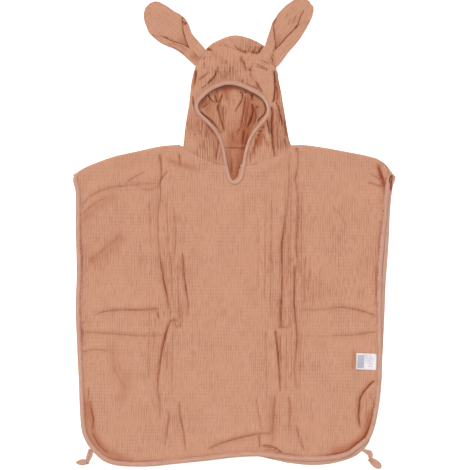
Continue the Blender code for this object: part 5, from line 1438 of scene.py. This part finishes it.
front_ways = inward_ways(FRONT_EDGE, 1)
front_tape = tape_piece("front_tape", FRONT_EDGE, front_ways, lambda x, y, k: front_height(x, y)[0],
                        BODY_TAPE, 41, folds=(0.65, -1.05))
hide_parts("binding_front")


def stitch_line(edge, ways, height):
    x = edge[:, 0] + ways[:, 0] * BODY_STITCHES_IN
    y = edge[:, 1] + ways[:, 1] * BODY_STITCHES_IN
    return np.stack([x, y, height(x, y)[0] + STITCHES_UP], axis=1)


front_stitches = stitch_row("front_stitches", stitch_line(FRONT_EDGE, front_ways, front_height))


# --- The back panel, under the front.

BACK_TOP_DROP = 2.6
NAPE_Y = 607.4


def back_top():
    """The back's top edge, just inside the front's shoulder folds and under the hood at the nape."""
    x = np.concatenate([np.linspace(-298, -101, 50), np.linspace(-98, 112, 40), np.linspace(114, 307, 50)])
    left = shoulder_left(x) - BACK_TOP_DROP * 1.15
    right = shoulder_right(x) - BACK_TOP_DROP * 1.25
    y = np.where(x < -100, left, np.where(x > 113, right, NAPE_Y))
    y = np.where(np.abs(x - 5) > 293, y - 1.2, y)
    return np.stack([x, y], axis=1)


BACK_TOP = back_top()


def back_side_left(y):
    return front_left(y - 3) + 4.0


BACK_SHAPE = (back_side_left, back_hem, back_right, BACK_ENDS, BACK_LOWS, BACK_TOP)
BACK_EDGE = bound_edge(*BACK_SHAPE, 2.6)
BACK_EDGE_COARSE = even_line(BACK_EDGE, 8.0)


def back_height(x, y):
    """Height of the back panel's underside, and its shading."""
    from_edge = np.abs(beside(BACK_EDGE_COARSE, x, y)[0])
    edge = 1 - smooth_step((from_edge - BAND) / BACK_BLEND)
    lift, soft, away, dark = creased(BACK_CREASES + UNDER_CREASES, x, y)
    painted_shade = together(soft, shaded(BACK_SHADES, x, y))
    return BACK_EDGE_Z * edge + 0.7 * np.maximum(lift, 0) * (1 - edge), (painted_shade, away, dark)


def back_place(u, v):
    x, y, _ = on_panel(u, v, *BACK_SHAPE)
    z, shading = back_height(x, y)
    return x, y, z, x, y, *shading


back = grid_piece("back_gauze", 130, 120, back_place, gauze_shaded)
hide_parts("back_panel")
back_ways = inward_ways(BACK_EDGE, 1)
back_tape = tape_piece("back_tape", BACK_EDGE, back_ways, lambda x, y, k: back_height(x, y)[0],
                       BODY_TAPE, 51)
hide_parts("binding_back")
back_stitches = stitch_row("back_stitches", stitch_line(BACK_EDGE, back_ways, back_height))


# --- The hood.

def seam_ends(seam_rows):
    start, end = (HOOD_FRONT[k] for k in seam_rows)
    return np.array([(start.outer_x, start.outer_y), (end.outer_x, end.outer_y)])


def hood_height(x, y, z, s, length, at):
    """The hood front's relief: its folds, and its rise to the ears at their seams."""
    lift, soft, away, dark = creased(HOOD_CREASES + CROWN_CREASES, x, y)
    from_face = (1 - s) * length
    fade = smooth_step((from_face - FACE_BAND) / 6.0)
    rim = smooth_step(s * length / 8.0)
    relief = lift + 0.8 * crinkle(x, y, 61) + 0.5 * patchy(x, y, 30, 45, 62)
    from_neck = smooth_step(np.minimum(at, LAST_STATION - at) / 0.4)
    z = z + relief * fade * np.clip(rim + 0.35, 0, 1) * from_neck
    for seam_rows, rise in ((LEFT_EAR_ROWS, 0.8), (RIGHT_EAR_ROWS, 3.2)):
        away_seam = np.abs(beside(seam_ends(seam_rows), x, y)[0])
        z = z + rise * np.exp(-(away_seam / 11.0) ** 2) * fade
    # The shadow of the tape.
    beside_tape = 0.16 * np.exp(-np.maximum(from_face - FACE_TAPE, 0) / 2.5)
    painted_shade = together(beside_tape, soft, shaded(HOOD_SHADES, x, y))
    return z, (painted_shade, away, np.minimum(1.15 * dark, 1), patches(HOOD_GATHERS, x, y))


def hood_front_place(u, v):
    """u runs from outside to the face opening, v from the left end of the neck to the right one."""
    at = v * LAST_STATION
    seamed = smooth_step((at - LEFT_EAR_ROWS[0] + 0.15) / 0.3) * smooth_step(
        (RIGHT_EAR_ROWS[1] + 0.15 - at) / 0.3)
    row = between_rows(HOOD_FRONT, at)
    length = np.hypot(row.inner_x - row.outer_x, row.inner_y - row.outer_y)
    by_ear = smooth_step((at - RIGHT_EAR_ROWS[0] + 0.1) / 0.2) * smooth_step(
        (RIGHT_EAR_ROWS[1] + 0.1 - at) / 0.2)
    roll_share = 0.14
    turn = np.maximum(1 - u / roll_share, 0.0) * math.pi / 2
    t = np.maximum(u - roll_share, 0.0) / (1 - roll_share)
    rim = (1 - seamed) * ROLL / length + seamed * 0.8 / length
    s = rim + (1 - rim) * t
    x, y, z, _ = hood_station(at, s)
    z, shading = hood_height(x, y, z, s, length, at)
    out_x = (row.outer_x - row.inner_x) / length
    out_y = (row.outer_y - row.inner_y) / length
    reach = (1 - seamed) * (ROLL - WALL) + seamed * 0.6 + by_ear * 3.2
    x = x + out_x * reach * np.sin(turn)
    y = y + out_y * reach * np.sin(turn)
    drop = (1 - seamed) * z + seamed * 0.7 + by_ear * 2.2
    z = np.maximum(z - drop * (1 - np.cos(turn)), 0)
    return x, y, z, x, y, *shading


hood = grid_piece("hood_front_gauze", 98, 460, hood_front_place, gauze)
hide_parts("hood_front")


def face_loop():
    """The edge of the face opening and the slit, with heights, from the left end of the neck round."""
    at = np.linspace(0, LAST_STATION, 400)
    x, y, z, _ = hood_station(at, np.ones(400))
    slit = rounded([NECK_RIGHT, *SLIT[::-1], NECK_LEFT], 3)
    slit = np.column_stack([slit, np.full(len(slit), HOOD_FRONT[0].inner_z)])
    loop = np.vstack([np.stack([x, y, z], axis=1), slit[1:]])
    return even_line(loop, 2.0)


FACE_LOOP = face_loop()
face_ways = inward_ways(FACE_LOOP, 1)
for _ in range(3):
    face_ways = (np.roll(face_ways, 1, axis=0) + 2 * face_ways + np.roll(face_ways, -1, axis=0)) / 4
    face_ways /= np.linalg.norm(face_ways, axis=1)[:, None]


# The tape looks narrower down the sides of the face, where it stands a little on its edge.
FACE_SIDES = (560.0, 672.0)     # from and up to which y
face_slim = 1 - 0.2 * smooth_step((FACE_SIDES[1] - FACE_LOOP[:, 1]) / 22) * smooth_step(
    (FACE_LOOP[:, 1] - FACE_SIDES[0]) / 30)
face_tape = tape_piece("face_tape", FACE_LOOP, face_ways, lambda x, y, k: FACE_LOOP[k, 2] + 0 * x,
                       FACE_TAPE, 71, slim=face_slim)
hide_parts("face_binding")


def crown_place(u, v):
    """u runs from the outer edge to the seam, v from the left ear to the right one."""
    first, last = LEFT_EAR_ROWS[0], RIGHT_EAR_ROWS[1]
    at = first + (last - first) * v
    outer = between_rows(HOOD_FRONT, at)
    crown = between_rows(HOOD_CROWN, at - first)
    way_x, way_y = crown.edge_x - outer.outer_x, crown.edge_y - outer.outer_y
    width = np.maximum(np.hypot(way_x, way_y), 1e-3)
    way_x, way_y = way_x / width, way_y / width
    seam_x, seam_y = outer.outer_x + 1.5 * GAP * way_x, outer.outer_y + 1.5 * GAP * way_y
    edge_x, edge_y = crown.edge_x - WALL * way_x, crown.edge_y - WALL * way_y
    inner = np.hypot(seam_x - edge_x, seam_y - edge_y)
    turn = np.minimum(CROWN_TURN, 0.6 * inner)
    angle = np.minimum(u / CROWN_TURN_SHARE, 1.0) * math.pi / 2
    flat = np.maximum(u - CROWN_TURN_SHARE, 0.0) / (1 - CROWN_TURN_SHARE)
    away = turn * (1 - np.cos(angle)) + flat * (inner - turn)
    x = edge_x - way_x * away
    y = edge_y - way_y * away
    z = crown.seam_z * np.sin(angle)
    flat_part = np.sin(angle)
    gathers = smooth_step((v - 0.55) / 0.2) * smooth_step((1.02 - v) / 0.1) * smooth_step((u - 0.25) / 0.5)
    gathered = patchy(x + 0.6 * y, y, 2.9, 16.0, 81)
    lift, soft, away, dark = creased(CROWN_CREASES, x, y)
    z = z + gathers * 1.1 * gathered + flat_part * (
        lift + 0.6 * crinkle(x, y, 82) + 0.6 * patchy(x, y, 24, 30, 83))
    seam_turn = smooth_step((u - 0.93) / 0.07)
    z = z - 1.2 * seam_turn * (0.3 + 0.7 * smooth_step((v - 0.4) / 0.2))
    # Painted shade along the seam and in the gathers' lows.
    painted_shade = np.maximum(0.04 * seam_turn + 0.3 * seam_turn * smooth_step((v - 0.42) / 0.2),
                        gathers * 0.40 * smooth_step(-gathered))
    painted_shade = together(painted_shade, soft)
    return x, y, np.maximum(z, 0), x, y, painted_shade, away, dark, patches(HOOD_GATHERS, x, y)


crown = grid_piece("hood_crown_gauze", 46, 160, crown_place, gauze)
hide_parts("hood_crown")

LEFT_OUTLINE = smooth_line([(row.outer_y, row.outer_x) for row in HOOD_FRONT[:LEFT_EAR_ROWS[1]]])
RIGHT_OUTLINE = smooth_line([(row.outer_y, row.outer_x) for row in HOOD_FRONT[:RIGHT_EAR_ROWS[0]:-1]])


def inside_place(u, v):
    """u runs from the left outline to the right one, v from the nape to the seam at the crown."""
    nape_y = HOOD_FRONT[0].outer_y - 1.0
    top = HOOD_TOP_SIDE_Y + HOOD_TOP_RISE * np.sin(math.pi * u)
    y = nape_y + (top - nape_y) * v
    low_x = LEFT_OUTLINE(y) + HOOD_BACK_INSET
    high_x = RIGHT_OUTLINE(y) - HOOD_BACK_INSET
    x = low_x + (high_x - low_x) * u
    lift, soft, away, dark = creased(INSIDE_CREASES, x, y)
    painted_shade = together(soft, shaded(INSIDE_SHADES, x, y))
    edge = np.minimum(smooth_step(np.minimum(u, 1 - u) / 0.12), smooth_step(np.minimum(v, 1 - v) / 0.05))
    z = np.maximum(0.9 + 1.4 * lift + 0.8 * crinkle(x, y, 91) + 0.6 * patchy(x, y, 26, 40, 92), 0) * edge
    z = np.maximum(z, 1.5 * (1 - smooth_step(v / 0.06)))
    return x, y, z, x, y, painted_shade, away, np.minimum(1.2 * dark, 1), patches(HOOD_GATHERS, x, y)


inside = grid_piece("hood_inside_gauze", 180, 180, inside_place, gauze_shaded)
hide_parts("hood_back")
face_stitches = stitch_row("face_stitches", np.column_stack([
    FACE_LOOP[:, 0] + face_ways[:, 0] * FACE_STITCHES_IN * face_slim,
    FACE_LOOP[:, 1] + face_ways[:, 1] * FACE_STITCHES_IN * face_slim,
    FACE_LOOP[:, 2] + STITCHES_UP + 0.05]))


# --- The ears.

def ear_place(rows, lean, root, seam_lean, seed, opens):
    """Places of an ear's cloth; opens gives how far up each flap's edge still casts a shade."""
    lean = math.radians(lean)
    axis = np.array([math.cos(lean), math.sin(lean)])
    across = np.array([axis[1], -axis[0]])
    skew = math.tan(math.pi / 2 - lean + math.radians(seam_lean))
    arc_length = math.pi * (EAR_WALL + EAR_FOLD_GAP) / 2
    lengths_s = np.array([row.s for row in rows], float)

    def side_at(reach, flap, turn, w):
        """One side at w from 0, where the fold starts, over the fold, to the flap's edge at 1."""
        turn = np.radians(np.clip(turn, 3.0, 180.0))
        radius = arc_length / turn
        folded = turn > math.pi / 2
        bent = np.minimum(turn, math.pi / 2)
        over = np.maximum(np.where(folded, reach - radius - EAR_WALL / 2 - flap, reach - flap), 0.5)
        start_n = reach - (radius + EAR_WALL / 2) * np.sin(bent) - over * np.maximum(np.cos(turn), 0)
        a = turn * np.minimum(w / EAR_FOLD_SHARE, 1.0)
        b = np.maximum(w - EAR_FOLD_SHARE, 0.0) / (1 - EAR_FOLD_SHARE) * over
        n = start_n + radius * np.sin(a) + b * np.cos(turn)
        z = radius * (1 - np.cos(a)) + b * np.sin(turn)
        return start_n, n, z, start_n + radius * a + b

    def place(u, v):
        # Stations are closer together towards the tip, where the outline turns.
        s = lengths_s[0] + (lengths_s[-1] - lengths_s[0]) * (1 - (1 - v) ** 1.25)
        at = np.interp(s, lengths_s, np.arange(len(rows)))
        row = between_rows(rows, at)
        on_left, on_right = u < EAR_SIDE_SHARE, u > 1 - EAR_SIDE_SHARE
        left_start, left_n, left_z, left_cut = side_at(
            -row.left, -row.left_flap, row.left_turn, np.clip(1 - u / EAR_SIDE_SHARE, 0, 1))
        right_start, right_n, right_z, right_cut = side_at(
            row.right, row.right_flap, row.right_turn, np.clip(1 - (1 - u) / EAR_SIDE_SHARE, 0, 1))
        middle = np.clip((u - EAR_SIDE_SHARE) / (1 - 2 * EAR_SIDE_SHARE), 0, 1)
        between_sides = -left_start + (right_start + left_start) * middle
        n = np.where(on_left, -left_n, np.where(on_right, right_n, between_sides))
        z = np.where(on_left, left_z, np.where(on_right, right_z, 0.0))
        cut = np.where(on_left, -left_cut, np.where(on_right, right_cut, n))
        ribs = patchy(cut, s, 3.6, 26.0, seed) + 0.5 * patchy(cut, s, 8.0, 40.0, seed + 1)
        hem = smooth_step(np.minimum(u, 1 - u) / 0.06)
        z = z + 0.30 * ribs * hem + 0.3
        puff = 1.1 * np.sin(math.pi * np.clip(u, 0, 1)) * smooth_step((s - 70) / 40) * smooth_step(
            (lengths_s[-1] - s) / 30)
        z = z + row.z + puff + EAR_WALL / 2
        shear = skew * np.maximum(1 - s / EAR_SHEAR_LENGTH, 0.0)
        along = s + shear * n
        x = root[0] + along * axis[0] + n * across[0]
        y = root[1] + along * axis[1] + n * across[1]
        # The valley between the flaps is in their shade, deepest where they come together.
        folded = smooth_step((np.radians(row.left_turn) - 0.8) / 1.4), smooth_step(
            (np.radians(row.right_turn) - 0.8) / 1.4)
        from_left, from_right = n - row.left_flap, row.right_flap - n
        closer = np.where(from_left < from_right, from_left, from_right)
        opening = [1 - smooth_step((s - low) / 12.0) for low in opens]
        covered = np.where(from_left < from_right, folded[0] * opening[0], folded[1] * opening[1])
        middle_part = ((u > 0.30) & (u < 0.70)).astype(float)
        gap = np.maximum(row.right_flap - row.left_flap, 0)
        apex = 0.55 * smooth_step(1 - gap / 36.0)
        under = np.maximum(0.42 * np.exp(-(np.maximum(closer, 0) / 3.5) ** 2), apex) * covered
        lift, soft, away, dark = creased(EAR_CREASES, x, y)
        painted_shade = together(under * middle_part, soft, shaded(EAR_SHADES, x, y))
        z = z + lift * hem
        beside_flap = 0.8 * covered * middle_part * (1 - smooth_step((np.abs(closer) - 2.5) / 3.0))
        away = np.where(beside_flap > dark, -closer / 1.5, away)
        dark = np.maximum(beside_flap, dark)
        return x, y, z, cut, s, painted_shade, away, dark

    return place


for name, rows, lean, root, seam_lean, seed, opens in (
        ("ear_left", EAR_LEFT, EAR_LEFT_LEAN, EAR_LEFT_ROOT, EAR_LEFT_SEAM_LEAN, 101, (76, 70)),
        ("ear_right", EAR_RIGHT, EAR_RIGHT_LEAN, EAR_RIGHT_ROOT, EAR_RIGHT_SEAM_LEAN, 111, (54, 84))):
    ear = grid_piece(name + "_gauze", 120, 118,
                     ear_place(rows, lean, np.array(root), seam_lean, seed, opens), gauze,
                     wall=EAR_WALL, offset=0.0)
    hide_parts(name)


# --- The care label, a folded satin ribbon caught under the front's tape.

def label_place(lower):
    turn = math.radians(LABEL["tilt"])

    def place(u, v):
        a = (u - 0.5) * LABEL["width"]
        b = (v - 0.5) * LABEL["height"]
        if lower:
            a = a + LABEL_UNDER_SHIFT[0]
            b = b + LABEL_UNDER_SHIFT[1]
        x = LABEL["x"] + a * math.cos(turn) - b * math.sin(turn)
        y = LABEL["y"] + a * math.sin(turn) + b * math.cos(turn)
        z = front_height(x, y)[0]
        rest = np.maximum(z, z.mean())
        curl = 1.1 * (1 - u) ** 2 + 0.35 * np.sin(math.pi * v)
        z = rest + WALL + 0.45 + (0 if lower else 0.55) + curl
        return x, y, z, a, b

    return place


for name, lower in (("care_label_under", True), ("care_label_top", False)):
    leaf = grid_piece(name, 38, 31, label_place(lower), satin, wall=0.3)
    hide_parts("care_label")


# --- Floor and light.

FLOOR_HALF_SIZE = 6.0       # both in metres
FLOOR_GAP = 0.0005


def add_stage():
    bm = bmesh.new()
    bmesh.ops.create_grid(bm, x_segments=1, y_segments=1, size=FLOOR_HALF_SIZE)
    mesh = bpy.data.meshes.new("pale_floor")
    bm.to_mesh(mesh)
    bm.free()
    made, _, shader = new_material("pale_floor_paint")
    set_sockets(shader, {
        "Base Color": (0.95, 0.95, 0.95, 1.0), "Roughness": 0.9, "Specular IOR Level": 0.1,
        "Emission Color": (1.0, 1.0, 1.0, 1.0), "Emission Strength": 0.30})
    mesh.materials.append(made)
    floor = bpy.data.objects.new("pale_floor", mesh)
    floor.location.z = GROUND - FLOOR_GAP
    bpy.context.collection.objects.link(floor)


def add_light(name, kind, place, **settings):
    """A light that shines from its place towards the middle of the garment."""
    light = bpy.data.lights.new(name, kind)
    for key, value in settings.items():
        setattr(light, key, value)
    piece = bpy.data.objects.new(name, light)
    piece.location = place
    piece.rotation_euler = Vector(place).to_track_quat("Z", "Y").to_euler()
    bpy.context.collection.objects.link(piece)


def add_air():
    world = bpy.data.worlds.new("studio_air")
    world.use_nodes = True
    set_sockets(world.node_tree.nodes["Background"], {"Color": (1, 1, 1, 1), "Strength": 0.52})
    bpy.context.scene.world = world


add_stage()
add_light("overhead_softbox", "AREA", (0.1, -0.1, 3.2), shape="SQUARE", size=3.0, energy=62.0)
add_light("far_softbox", "SUN", (-0.45, 0.85, 1.0), energy=2.1, angle=math.radians(26))
add_air()
bpy.context.scene.view_settings.view_transform = "Standard"
